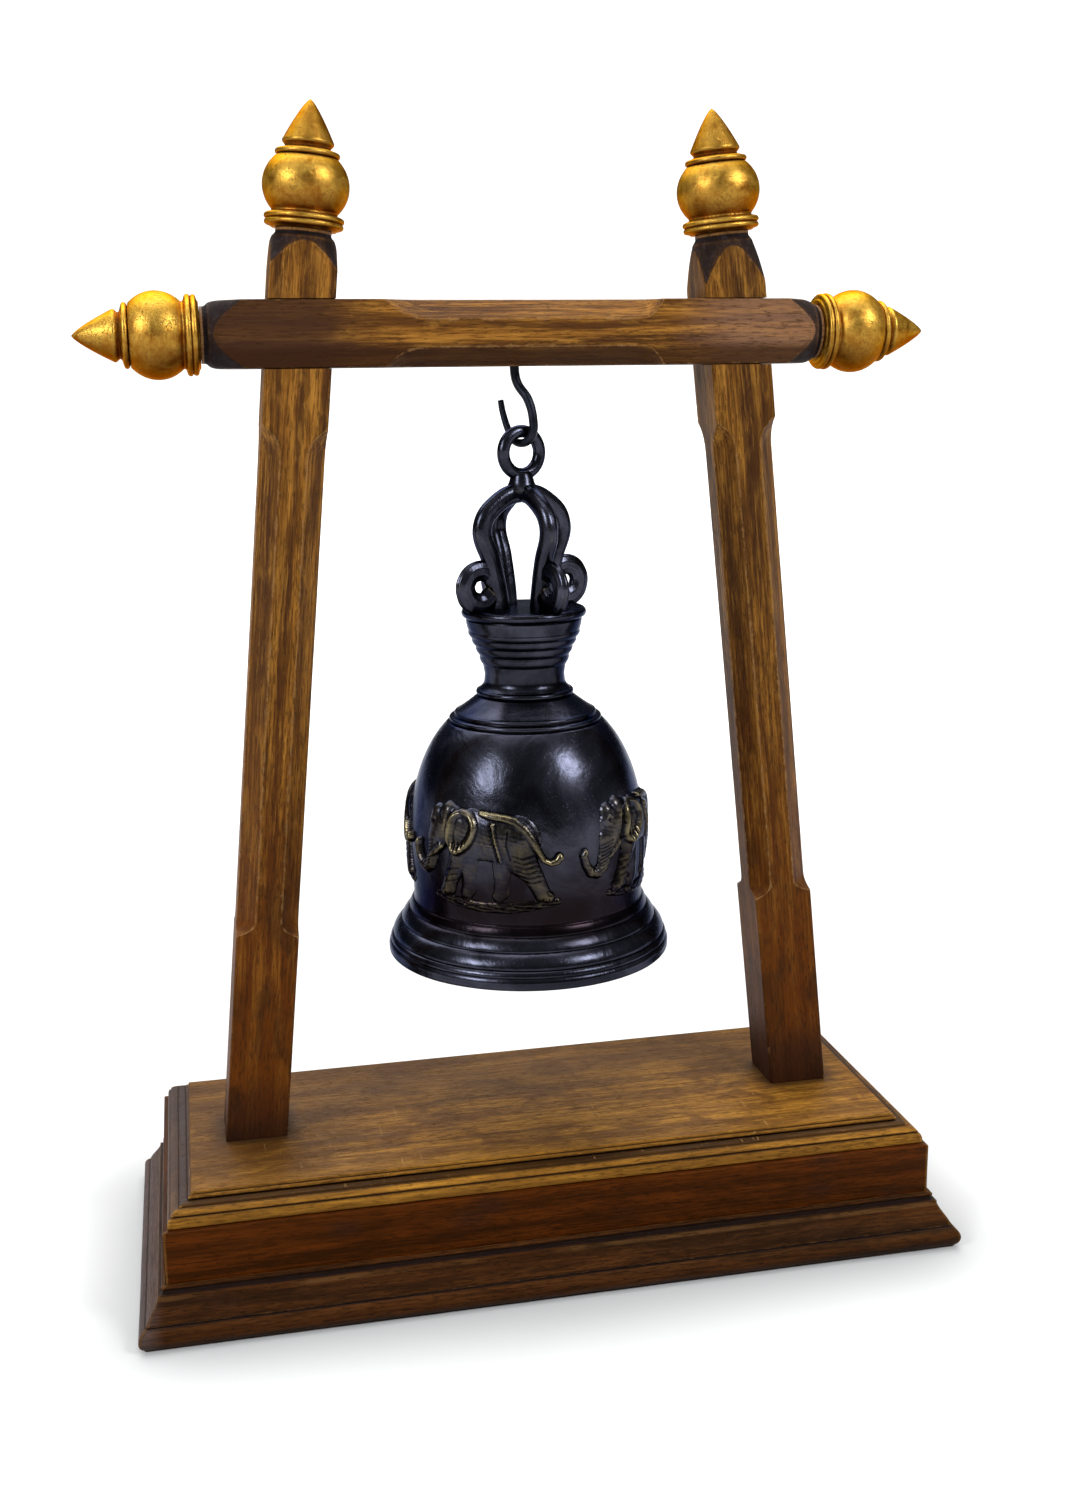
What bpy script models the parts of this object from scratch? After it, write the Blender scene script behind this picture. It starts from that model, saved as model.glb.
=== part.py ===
"""Sanctus bell: a cast bronze bell hung by a hook from a leaning hardwood frame.

The frame stands on a hollow moulded base. Two square posts lean towards each other and are
half-lapped into a crossbar. Each free end of the three sticks is turned to a dome and a tenon,
and carries a turned gilt finial. The bell hangs by its crown ring and holds a clapper.

World frame: metres, +Z up, X along the crossbar, -Y to the front, origin under the base.
"""
import math

import bmesh
import bpy
from mathutils import Matrix, Vector

# ---------------------------------------------------------------- fits
GAP = 0.0003            # between pieces that touch
OVERSHOOT = 0.004       # how far a cutter runs past what it cuts

# ---------------------------------------------------------------- base
BASE_LENGTH = 0.402     # footprint of the skirt along X
BASE_DEPTH = 0.179      # footprint of the skirt along Y
BASE_HEIGHT = 0.064     # floor to the top face of the board
BOARD_THICKNESS = 0.0122
BOARD_EDGE = 0.0115     # width of the moulding round the board
BOARD_SETBACK = 0.0025  # board edge behind the face of the aprons
BOARD_STEP = 0.0035     # depth of the upper fillet of the board's moulding
APRON_THICKNESS = 0.014
APRON_ARRIS = 0.001     # rounding of the aprons' upper edge
SKIRT_HEIGHT = 0.0262
SKIRT_WIDTH = 0.013     # skirt's foot in front of the aprons
SKIRT_CAP = 0.0028      # width of the skirt's top fillet
SKIRT_BEAD = 0.0056     # radius of the bead along the skirt's foot
GLUE_BLOCK = 0.018      # side of the square blocks in the corners
GLUE_BLOCK_HEIGHT = 0.038

# ---------------------------------------------------------------- posts and crossbar
STOCK = 0.030           # square section of posts and crossbar
LEAN = math.atan(0.1)   # each post's lean from the vertical
FOOT_SPREAD = 0.283     # between the posts' axes at the board
BAR_HEIGHT = 0.449      # floor to the crossbar's axis
POST_ABOVE_BAR = 0.0455     # crossing to the seat of the post's finial
BAR_BEYOND_POST = 0.0436    # crossing to the seat of the bar's finial
FOOT_BLOCK = 0.104      # square length at the foot of a post
JOINT_BLOCK = 0.040     # square length from the crossing down a post
BAR_BLOCK = 0.036       # square length from the crossing in along the bar
POST_STOPS = (0.010, 0.020)     # run-out of the chamfers, lower and upper
BAR_STOPS = (0.030, 0.016)      # run-out of the chamfers, left and right
STOP_LIP = 0.0018       # how far each run-out has risen where it turns steep
CHAMFER_CUT = 0.62      # cutter's width in stocks, wider than the flat that it leaves
DOME_LENGTH = 0.0185    # turned dome at each free end, up to the finial's seat
NECK_RADIUS = 0.0124    # turned neck under a finial
NECK_LENGTH = 0.002
DOME_SWEEP = math.radians(58)   # how much of an ellipse's quarter the dome follows
TENON_RADIUS = 0.006
TENON_LENGTH = 0.015
TENON_CHAMFER = 0.001
ENVELOPE_ROOM = 0.001   # turning outside the corners of the square, which it leaves alone

# ---------------------------------------------------------------- finials
FINIAL_LENGTH = 0.0558
FINIAL_COLLAR = 0.0180      # radii of the turned members, seat to tip
FINIAL_BELLY = 0.0195
FINIAL_RING = 0.0152
FINIAL_SPIRE = 0.0116
COLLAR_HEIGHT = 0.0050      # heights of their middles or edges above the seat
BELLY_HEIGHT = 0.0186
BELLY_HALF = 0.0178         # half the belly's height, were it whole
RING_HEIGHT = 0.0322
SPIRE_HEIGHT = 0.0382

# ---------------------------------------------------------------- fixings
SCREW_RADIUS = 0.0022
SCREW_LENGTH = 0.045
SCREW_HEAD_RADIUS = 0.0042
SCREW_HEAD_HEIGHT = 0.0028
WASHER_RADIUS = 0.0075
WASHER_THICKNESS = 0.0012

# ---------------------------------------------------------------- hook
HOOK_DROP = 0.0355          # crossbar's underside to the middle of the wire that the bell hangs on
HOOK_WIRE = 0.0022          # radius of the wire
HOOK_TIP = 0.0014           # radius at the free end
HOOK_BEND = 0.0070          # radius of the bowl
HOOK_TURN = math.radians(135)   # direction of the hook's opening about Z, from +X
HOOK_SHANK = 0.018          # length inside the crossbar
HOOK_SHANK_OFFSET = 0.0033  # shank from the middle of the bowl, towards the tip
HOOK_TIP_OFFSET = 0.0114    # tip from the middle of the bowl
HOOK_TIP_RISE = 0.0200      # tip above the pivot

# ---------------------------------------------------------------- bell
BELL_TURN = math.radians(21)    # turn of the crown's four legs about Z
CROWN_HEIGHT = 0.0780       # pivot down to the crown plate's top
BELL_HEIGHT = 0.1715        # crown plate's top to the rim
RIM_RADIUS = 0.0704
PLATE_RADIUS = 0.0304
PLATE_EDGE = 0.0062         # height of the plate's rounded edge
NECK_WAIST = 0.0199         # radius of the bell's neck at its narrowest
NECK_WAIST_DEPTH = 0.0320   # below the plate's top
NECK_RINGS = 4              # turned steps on the flare over the neck
TORUS_RADIUS = 0.0241       # ring under the neck
TORUS_DEPTH = 0.0412
TORUS_BEAD = 0.0022
SHOULDER_RADIUS = 0.0385    # where the shoulder meets its double ridge
SHOULDER_DEPTH = 0.0545
BARREL_RADIUS = 0.0580
BARREL_DEPTH = 0.1120
WAIST_RADIUS = 0.0571       # narrowest place above the lip
WAIST_DEPTH = 0.1430
LIP_STEPS = 3               # stepped ridges round the lip
LIP_STEP = 0.0009           # how far each ridge stands out
WALL = 0.0042               # thickness at the barrel
LIP_WALL = 0.0056           # thickness at the rim
NECK_BORE = 0.0140          # radius of the hollow inside the neck
PLATE_THICKNESS = 0.0090

RING_WIRE = 0.00305         # crown ring
RING_HOLE = 0.00705
KNUCKLE_RADIUS = 0.0066     # neck between the ring and the legs
LEG_WIRE = 0.0043           # radius of the crown's legs
LEG_BULGE = 0.0225          # distance of the legs' middle from the axis at their widest
LEG_PINCH = 0.0178
LEG_FOOT = 0.0135
LEG_TOP_DROP = 0.0233       # pivot down to the middle of the arch's top
LEG_BULGE_RISE = 0.0395     # above the plate
LEG_PINCH_RISE = 0.0225
SCROLL_WIRE = 0.0034        # scroll at the foot of each leg
SCROLL_BEND = 0.0080
SCROLL_REACH = 0.0245       # middle of the scroll from the axis

# ---------------------------------------------------------------- clapper
STAPLE_WIRE = 0.0016
STAPLE_SPAN = 0.0130        # between the staple's legs
STAPLE_DROP = 0.0100        # plate's underside to the middle of the staple's bend
STAPLE_SEAT = 0.0060        # how far each leg goes into the plate
STAPLE_BEND = 0.0042        # how far each corner's bend reaches
EYE_HOLE = 0.0028
EYE_WIRE = 0.0015
ROD_RADIUS = 0.0018
CLAPPER_LENGTH = 0.1405     # staple to the middle of the ball
BALL_RADIUS = 0.0115
BALL_NECK = 0.0040          # radius of the ball's turned neck
BALL_NECK_LENGTH = 0.0034
BALL_BORE_DEPTH = 0.0160

# ---------------------------------------------------------------- facets
TURNED_FACETS = 20          # sides of small turned pieces
BELL_FACETS = 32
BAR_UNDERSIDE = BAR_HEIGHT - STOCK / 2
PIVOT_HEIGHT = BAR_UNDERSIDE - HOOK_DROP
STAPLE_DEPTH = CROWN_HEIGHT + PLATE_THICKNESS + STAPLE_DROP     # staple's bend below the pivot
SWING_TURN = HOOK_TURN      # the bell and the clapper both hang across this direction

# name: (base colour, roughness, metallic)
FINISHES = {
    "board wood": ((0.205, 0.110, 0.035, 1), 0.45, 0.0),
    "apron wood": ((0.120, 0.045, 0.018, 1), 0.45, 0.0),
    "frame wood": ((0.150, 0.070, 0.025, 1), 0.48, 0.0),
    "raw wood": ((0.300, 0.190, 0.100, 1), 0.75, 0.0),
    "gold leaf": ((0.750, 0.440, 0.080, 1), 0.32, 1.0),
    "bronze": ((0.030, 0.030, 0.036, 1), 0.36, 1.0),
    "black iron": ((0.040, 0.042, 0.050, 1), 0.45, 1.0),
    "zinc steel": ((0.450, 0.450, 0.440, 1), 0.35, 1.0),
}


# ================================================================ general tools
def clear_scene():
    for obj in list(bpy.data.objects):
        bpy.data.objects.remove(obj, do_unlink=True)


def new_collection(name):
    collection = bpy.data.collections.new(name)
    bpy.context.scene.collection.children.link(collection)


def make_finishes():
    for name, (colour, roughness, metallic) in FINISHES.items():
        finish = bpy.data.materials.new(name)
        finish.use_nodes = True
        shader = finish.node_tree.nodes["Principled BSDF"]
        shader.inputs["Base Color"].default_value = colour
        shader.inputs["Roughness"].default_value = roughness
        shader.inputs["Metallic"].default_value = metallic


def add(name, data, finish=None):
    """Put data in the scene: as a part where it has a finish, as a cutter where it has none."""
    obj = bpy.data.objects.new(name, data)
    if finish:
        bpy.data.collections["sanctus_bell"].objects.link(obj)
        data.materials.append(bpy.data.materials[finish])
    else:
        bpy.data.collections["cutters"].objects.link(obj)
        obj.hide_render = True
        obj.display_type = "WIRE"
    return obj


def from_bmesh(name, bm, finish=None):
    mesh = bpy.data.meshes.new(name)
    bm.to_mesh(mesh)
    bm.free()
    return add(name, mesh, finish)


def box(name, low, high, finish=None):
    """An upright box between two corners."""
    low = Vector(low)
    high = Vector(high)
    bm = bmesh.new()
    bmesh.ops.create_cube(bm, size=1)
    bmesh.ops.scale(bm, vec=high - low, verts=bm.verts)
    bmesh.ops.translate(bm, vec=(low + high) / 2, verts=bm.verts)
    return from_bmesh(name, bm, finish)


def rod(name, radius, low, high, finish=None, segments=TURNED_FACETS):
    """An upright cylinder on the Z axis."""
    bm = bmesh.new()
    bmesh.ops.create_cone(bm, cap_ends=True, segments=segments, radius1=radius, radius2=radius,
                          depth=high - low)
    bmesh.ops.translate(bm, vec=(0, 0, (low + high) / 2), verts=bm.verts)
    return from_bmesh(name, bm, finish)


def turned(name, profile, finish=None, segments=TURNED_FACETS):
    """Turn (radius, height) points about Z. They run down the outer side, top to bottom."""
    mesh = bpy.data.meshes.new(name)
    edges = [(i, i + 1) for i in range(len(profile) - 1)]
    mesh.from_pydata([(radius, 0, height) for radius, height in profile], edges, [])
    obj = add(name, mesh, finish)
    screw = obj.modifiers.new("turning", "SCREW")
    screw.steps = segments
    screw.render_steps = segments
    screw.use_merge_vertices = True
    screw.merge_threshold = 0.00001
    screw.use_smooth_shade = True
    return obj


def tube(name, points, radius, finish=None, resolution=4, tip_radius=None):
    """A round wire through the points, tapering to tip_radius at its end, as a closed mesh."""
    curve = bpy.data.curves.new(name, "CURVE")
    curve.dimensions = "3D"
    curve.bevel_depth = radius
    curve.bevel_resolution = 2
    curve.use_fill_caps = True
    curve.resolution_u = resolution
    spline = curve.splines.new("BEZIER")
    spline.bezier_points.add(len(points) - 1)
    last = len(points) - 1
    end_scale = (tip_radius or radius) / radius
    for i, (knot, place) in enumerate(zip(spline.bezier_points, points)):
        knot.co = place
        knot.handle_left_type = "AUTO"
        knot.handle_right_type = "AUTO"
        knot.radius = 1 + (end_scale - 1) * (i / last) ** 3
    return curve_to_mesh(name, curve, finish)


def ring(name, hole, wire, sides, finish=None):
    """A round ring of wire about Z: hole is the radius inside it, wire the wire's own."""
    bpy.ops.mesh.primitive_torus_add(major_radius=hole + wire, minor_radius=wire,
                                     major_segments=sides[0], minor_segments=sides[1])
    made = bpy.context.object
    mesh = made.data
    bpy.data.objects.remove(made, do_unlink=True)
    return add(name, mesh, finish)


def section(name, outline, thickness, finish=None):
    """A flat outline in the XY plane, thickened equally to both sides along Z."""
    curve = bpy.data.curves.new(name, "CURVE")
    curve.dimensions = "2D"
    curve.fill_mode = "BOTH"
    curve.extrude = thickness / 2
    spline = curve.splines.new("POLY")
    spline.points.add(len(outline) - 1)
    for point, (x, y) in zip(spline.points, outline):
        point.co = (x, y, 0, 1)
    spline.use_cyclic_u = True
    return curve_to_mesh(name, curve, finish)


def curve_to_mesh(name, curve, finish):
    """The curve's solid with its caps welded on."""
    source = bpy.data.objects.new(name + " curve", curve)
    bpy.context.scene.collection.objects.link(source)
    bpy.context.view_layer.update()
    mesh = bpy.data.meshes.new_from_object(source.evaluated_get(bpy.context.evaluated_depsgraph_get()))
    bpy.data.objects.remove(source, do_unlink=True)
    mesh.name = name
    bm = bmesh.new()
    bm.from_mesh(mesh)
    bmesh.ops.remove_doubles(bm, verts=bm.verts, dist=0.00002)
    bmesh.ops.recalc_face_normals(bm, faces=bm.faces)
    bm.to_mesh(mesh)
    bm.free()
    return add(name, mesh, finish)


def boolean(obj, other, operation):
    modifier = obj.modifiers.new(other.name, "BOOLEAN")
    modifier.operation = operation
    modifier.object = other


def cut(obj, *cutters):
    for cutter in cutters:
        boolean(obj, cutter, "DIFFERENCE")


def fuse(obj, *others):
    for other in others:
        boolean(obj, other, "UNION")


def trim(obj, other):
    boolean(obj, other, "INTERSECT")


def slice_off(obj, point, normal):
    """Cut obj's mesh at a plane and close it, dropping the side that the normal points to."""
    bm = bmesh.new()
    bm.from_mesh(obj.data)
    everything = bm.verts[:] + bm.edges[:] + bm.faces[:]
    result = bmesh.ops.bisect_plane(bm, geom=everything, plane_co=point, plane_no=normal,
                                    clear_outer=True)
    edges = [item for item in result["geom_cut"] if isinstance(item, bmesh.types.BMEdge)]
    bmesh.ops.contextual_create(bm, geom=edges)
    bmesh.ops.recalc_face_normals(bm, faces=bm.faces)
    bm.to_mesh(obj.data)
    bm.free()


def bake(obj, matrix):
    """Move obj's mesh itself, so that the object keeps its origin."""
    obj.data.transform(matrix)


def smooth(obj, angle=math.radians(35)):
    obj.data.shade_smooth()
    obj.data.set_sharp_from_angle(angle=angle)


def arc(centre, radius, start, end, steps):
    """Points on a circle from start to end, in degrees, both ends included."""
    points = []
    for i in range(steps + 1):
        angle = math.radians(start + (end - start) * i / steps)
        points.append((centre[0] + radius * math.cos(angle), centre[1] + radius * math.sin(angle)))
    return points


def sweep(start, pull_start, pull_end, end, steps):
    """Points on a cubic curve, leaving out its start."""
    points = []
    for i in range(1, steps + 1):
        t = i / steps
        weights = ((1 - t) ** 3, 3 * t * (1 - t) ** 2, 3 * t * t * (1 - t), t ** 3)
        knots = (start, pull_start, pull_end, end)
        points.append(tuple(sum(w * knot[axis] for w, knot in zip(weights, knots)) for axis in (0, 1)))
    return points


# ================================================================ base
def footprint(inset):
    """Half length and half depth of the base at a distance inside the skirt's foot."""
    return BASE_LENGTH / 2 - inset, BASE_DEPTH / 2 - inset


APRON_INSET = SKIRT_WIDTH + GAP
BOARD_INSET = APRON_INSET + BOARD_SETBACK
BOARD_BOTTOM = BASE_HEIGHT - BOARD_THICKNESS
APRON_TOP = BOARD_BOTTOM - GAP


def board_profile():
    """Section of the board's moulded edge, (outset from the top face, height), bottom to top."""
    quirk = 0.0007
    nose = 0.0016
    step = BASE_HEIGHT - BOARD_STEP
    ovolo_run = BOARD_EDGE - 3 * quirk
    ovolo_rise = BOARD_THICKNESS - BOARD_STEP - nose
    points = [(BOARD_EDGE, BOARD_BOTTOM)]
    for run, rise in arc((0, 0), 1, 0, 90, 4):
        points.append((3 * quirk + ovolo_run * run, BOARD_BOTTOM + nose + ovolo_rise * rise))
    points += [(quirk, step), (quirk, BASE_HEIGHT - 2 * quirk), (-quirk, BASE_HEIGHT)]
    return points


def make_board():
    """The top board: one rectangle drawn up through each level of its moulded edge."""
    half_x, half_y = footprint(BOARD_INSET + BOARD_EDGE)
    bm = bmesh.new()
    bmesh.ops.create_grid(bm, x_segments=1, y_segments=1, size=1)
    rim = bm.edges[:]
    for i, (outset, height) in enumerate(board_profile()):
        if i:
            drawn = bmesh.ops.extrude_edge_only(bm, edges=rim)["geom"]
            rim = [item for item in drawn if isinstance(item, bmesh.types.BMEdge)]
        for vert in {vert for edge in rim for vert in edge.verts}:
            vert.co = (math.copysign(half_x + outset, vert.co.x),
                       math.copysign(half_y + outset, vert.co.y), height)
    bmesh.ops.contextual_create(bm, geom=rim)
    bmesh.ops.recalc_face_normals(bm, faces=bm.faces)
    board = from_bmesh("top_board", bm, "board wood")
    for side in (-1, 1):
        hole = rod(f"board hole {side}", SCREW_RADIUS + GAP, BOARD_BOTTOM - OVERSHOOT,
                   BASE_HEIGHT + OVERSHOOT, segments=12)
        bake(hole, Matrix.Translation((side * FOOT_SPREAD / 2, 0, 0)))
        cut(board, hole)


def apron_profile():
    """Section of an apron: x out from its inner face, y up from the floor."""
    top = APRON_TOP
    outer = APRON_THICKNESS
    corner = arc((outer - APRON_ARRIS, top - APRON_ARRIS), APRON_ARRIS, 0, 90, 2)
    return [(0, 0), (outer, 0)] + corner + [(0, top)]


def skirt_profile():
    """Section of a skirt: cap fillet, long cove, quirk and a bead along the foot."""
    bead = SKIRT_BEAD
    quirk = (SKIRT_WIDTH - bead * 0.62, 2 * bead)
    cap = (SKIRT_CAP, SKIRT_HEIGHT - 0.0022)
    points = [(0, 0), (SKIRT_WIDTH - bead * 0.5, 0)]
    points += arc((SKIRT_WIDTH - bead, bead), bead, -50, 62, 6)
    points.append(quirk)
    points += sweep(quirk, (quirk[0] - 0.0018, quirk[1] + 0.0045), (cap[0] + 0.0012, cap[1] - 0.0040),
                    (cap[0], cap[1]), 4)
    points += [(cap[0] - 0.0009, SKIRT_HEIGHT), (0, SKIRT_HEIGHT)]
    return points


def mitred_strip(name, profile, inner_x, inner_y, turn, finish):
    """One side of a mitred frame whose inner faces lie at +-inner_x and +-inner_y.

    The strip is made for the front side and turned about Z by quarter turns.
    """
    along, across = (inner_x, inner_y) if turn % 2 == 0 else (inner_y, inner_x)
    reach = max(x for x, _ in profile)
    strip = section(name, profile, 2 * (along + reach) + OVERSHOOT, finish)
    bake(strip, Matrix.Rotation(math.radians(90), 4, "Z") @ Matrix.Rotation(math.radians(90), 4, "X"))
    bake(strip, Matrix.Diagonal((1, -1, 1, 1)))
    strip.data.flip_normals()
    bake(strip, Matrix.Translation((0, -across, 0)))
    for side in (-1, 1):
        corner = Vector((side * (along - GAP / 2), -across, 0))
        slice_off(strip, corner, Vector((side, 1, 0)).normalized())
    bake(strip, Matrix.Rotation(math.radians(90) * turn, 4, "Z"))
    return strip


SIDES = ("front", "right", "back", "left")


def make_base():
    make_board()
    apron_x, apron_y = footprint(APRON_INSET + APRON_THICKNESS)
    skirt_x, skirt_y = footprint(SKIRT_WIDTH)
    for turn, side in enumerate(SIDES):
        mitred_strip(side + "_apron", apron_profile(), apron_x, apron_y, turn, "apron wood")
        mitred_strip(side + "_skirt", skirt_profile(), skirt_x, skirt_y, turn, "apron wood")
    block_x = apron_x - GAP
    block_y = apron_y - GAP
    for x, end in ((-1, "left"), (1, "right")):
        for y, face in ((-1, "front"), (1, "back")):
            low = Vector((min(x * block_x, x * (block_x - GLUE_BLOCK)),
                          min(y * block_y, y * (block_y - GLUE_BLOCK)), APRON_TOP - GLUE_BLOCK_HEIGHT))
            high = low + Vector((GLUE_BLOCK, GLUE_BLOCK, GLUE_BLOCK_HEIGHT))
            box(f"{face}_{end}_glue_block", low, high, "raw wood")


# ================================================================ sticks
def turned_end(reach):
    """Upper end of a turning envelope, (radius, height) down from its axis point at the tenon."""
    seat = reach
    corner = STOCK / math.sqrt(2) + ENVELOPE_ROOM
    dome_start = seat - NECK_LENGTH - DOME_LENGTH
    tip = seat + TENON_LENGTH
    points = [(0, tip), (TENON_RADIUS - TENON_CHAMFER, tip), (TENON_RADIUS, tip - TENON_CHAMFER)]
    points += [(TENON_RADIUS, seat), (NECK_RADIUS, seat), (NECK_RADIUS, seat - NECK_LENGTH)]
    swell = (corner - NECK_RADIUS) / (1 - math.cos(DOME_SWEEP))
    steps = 5
    for i in range(1, steps + 1):
        angle = DOME_SWEEP * (1 - i / steps)
        points.append((NECK_RADIUS + swell * (math.cos(angle) - math.cos(DOME_SWEEP)),
                       dome_start + DOME_LENGTH * math.sin(angle) / math.sin(DOME_SWEEP)))
    return points


def envelope(name, low, high, both_ends):
    """A turned body that trims a square stick: domed at the top, and at the bottom too if asked."""
    top = turned_end(high)
    if both_ends:
        bottom = [(radius, -height) for radius, height in reversed(turned_end(-low))]
    else:
        corner = top[-1][0]
        bottom = [(corner, low), (0, low)]
    return turned(name, top + bottom, segments=24)


def corner_cutter(name, low, high, stops):
    """Four bars that chamfer a square stick to an octagon, each running out at its ends."""
    flat = STOCK / 2
    corner = STOCK / math.sqrt(2) + 1.5 * ENVELOPE_ROOM
    lower, upper = stops
    outline = [(corner, low)]
    outline += sweep((corner, low), (flat + STOP_LIP, low + lower * 0.15), (flat, low + lower * 0.5),
                     (flat, low + lower), 4)
    outline += [(flat, high - upper)]
    outline += sweep((flat, high - upper), (flat, high - upper * 0.5),
                     (flat + STOP_LIP, high - upper * 0.15), (corner, high), 4)
    cutter = section(name, outline, STOCK * CHAMFER_CUT)
    bake(cutter, Matrix.Rotation(math.radians(90), 4, "X"))
    bm = bmesh.new()
    for quarter in range(4):
        bm.from_mesh(cutter.data)
        new = bm.verts[-len(cutter.data.vertices):]
        bmesh.ops.rotate(bm, verts=new, cent=(0, 0, 0),
                         matrix=Matrix.Rotation(math.radians(45 + 90 * quarter), 3, "Z"))
    bm.to_mesh(cutter.data)
    bm.free()
    return cutter


def stick(name, low, high, chamfer_low, chamfer_high, stops, both_ends):
    """A square stick on the Z axis with turned end or ends and an octagonal middle."""
    half = STOCK / 2
    blank_low = low - TENON_LENGTH - OVERSHOOT if both_ends else low
    piece = box(name, (-half, -half, blank_low), (half, half, high + TENON_LENGTH + OVERSHOOT),
                "frame wood")
    turning_low = low if both_ends else low - OVERSHOOT
    turning = envelope(name + " turning", turning_low, high, both_ends)
    chamfers = corner_cutter(name + " chamfers", chamfer_low, chamfer_high, stops)
    trim(piece, turning)
    cut(piece, chamfers)
    return piece, [turning, chamfers]


def crossing(side):
    """Where a post's axis meets the crossbar's."""
    run = (BAR_HEIGHT - BASE_HEIGHT) * math.tan(LEAN)
    return Vector((side * (FOOT_SPREAD / 2 - run), 0, BAR_HEIGHT))


def post_frame(side):
    """Axes of a post: Z up along its lean, origin at its crossing with the bar."""
    return Matrix.Translation(crossing(side)) @ Matrix.Rotation(-side * LEAN, 4, "Y")


BAR_FRAME = Matrix.Translation((0, 0, BAR_HEIGHT)) @ Matrix.Rotation(math.radians(90), 4, "Y")


def make_post(side, name):
    """One post. Its foot is cut level, its front half is let out where the bar crosses it."""
    to_foot = (BAR_HEIGHT - BASE_HEIGHT) / math.cos(LEAN)
    spare = STOCK * math.tan(LEAN)
    piece, tools = stick(name, -to_foot - spare, POST_ABOVE_BAR, -to_foot + FOOT_BLOCK, -JOINT_BLOCK,
                         POST_STOPS, both_ends=False)
    for obj in [piece] + tools:
        obj.matrix_world = post_frame(side)
    reach = STOCK
    floor = box(name + " foot cut", (-2 * reach, -reach, -3 * reach), (2 * reach, reach, 0))
    floor.location = (side * FOOT_SPREAD / 2, 0, BASE_HEIGHT + GAP)
    lap = box(name + " lap", (-2 * reach, -reach, -STOCK / 2 - GAP), (2 * reach, GAP / 2, STOCK / 2 + GAP))
    lap.location = crossing(side)
    pilot = rod(name + " pilot hole", SCREW_RADIUS + GAP, -OVERSHOOT,
                SCREW_LENGTH - WASHER_THICKNESS - BOARD_THICKNESS, segments=12)
    pilot.location = (side * FOOT_SPREAD / 2, 0, BASE_HEIGHT)
    cut(piece, floor, lap, pilot)


def make_crossbar():
    """The crossbar. Its back half is let out where each post crosses it."""
    inner = crossing(1).x
    end = inner + BAR_BEYOND_POST
    piece, tools = stick("crossbar", -end, end, -inner + BAR_BLOCK, inner - BAR_BLOCK, BAR_STOPS,
                         both_ends=True)
    for obj in [piece] + tools:
        obj.matrix_world = BAR_FRAME
    half = STOCK / 2 + GAP
    for side in (-1, 1):
        lap = box(f"crossbar lap {side}", (-half, -GAP / 2, -2 * STOCK), (half, STOCK, 2 * STOCK))
        lap.matrix_world = post_frame(side)
        cut(piece, lap)
    shank = hook_place(HOOK_SHANK_OFFSET, 0)
    hole = rod("hook hole", HOOK_WIRE + GAP, -OVERSHOOT, HOOK_SHANK + GAP, segments=12)
    hole.location = (shank.x, shank.y, BAR_UNDERSIDE)
    cut(piece, hole)


# ================================================================ finials
def finial_profile():
    """Spire, ring, belly and collar, from the tip down to the seat and up the socket."""
    base = SPIRE_HEIGHT
    length = FINIAL_LENGTH - base
    points = [(0, FINIAL_LENGTH)]
    for i in range(1, 5):
        t = i / 4
        points.append((FINIAL_SPIRE * t ** 0.86, base + length * (1 - t)))
    points += [(FINIAL_SPIRE * 0.97, base - 0.0008), (FINIAL_SPIRE * 0.88, base - 0.0022)]
    points += [(FINIAL_RING * 0.90, RING_HEIGHT + 0.0018)]
    points += arc((FINIAL_RING - 0.0012, RING_HEIGHT), 0.0012, 70, -70, 2)
    for angle in (42, 25, 8, -8, -25, -42):
        bend = math.radians(angle)
        points.append((FINIAL_BELLY * math.cos(bend), BELLY_HEIGHT + BELLY_HALF * math.sin(bend)))
    points.append((FINIAL_COLLAR * 0.86, COLLAR_HEIGHT))
    points += arc((FINIAL_COLLAR - 0.0020, COLLAR_HEIGHT - 0.0026), 0.0020, 60, -50, 3)
    points.append((FINIAL_COLLAR - 0.0022, 0))
    socket = TENON_RADIUS + GAP
    points += [(socket, 0), (socket, TENON_LENGTH + GAP), (0, TENON_LENGTH + GAP)]
    return points


def make_finials():
    seat = Matrix.Translation((0, 0, GAP))
    end = crossing(1).x + BAR_BEYOND_POST
    for side, word in ((-1, "left"), (1, "right")):
        post_finial = turned(word + "_post_finial", finial_profile(), "gold leaf")
        post_finial.matrix_world = post_frame(side) @ Matrix.Translation((0, 0, POST_ABOVE_BAR)) @ seat
        bar_finial = turned(word + "_bar_finial", finial_profile(), "gold leaf")
        bar_finial.matrix_world = (Matrix.Translation((side * end, 0, BAR_HEIGHT))
                                   @ Matrix.Rotation(side * math.radians(90), 4, "Y") @ seat)


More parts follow.
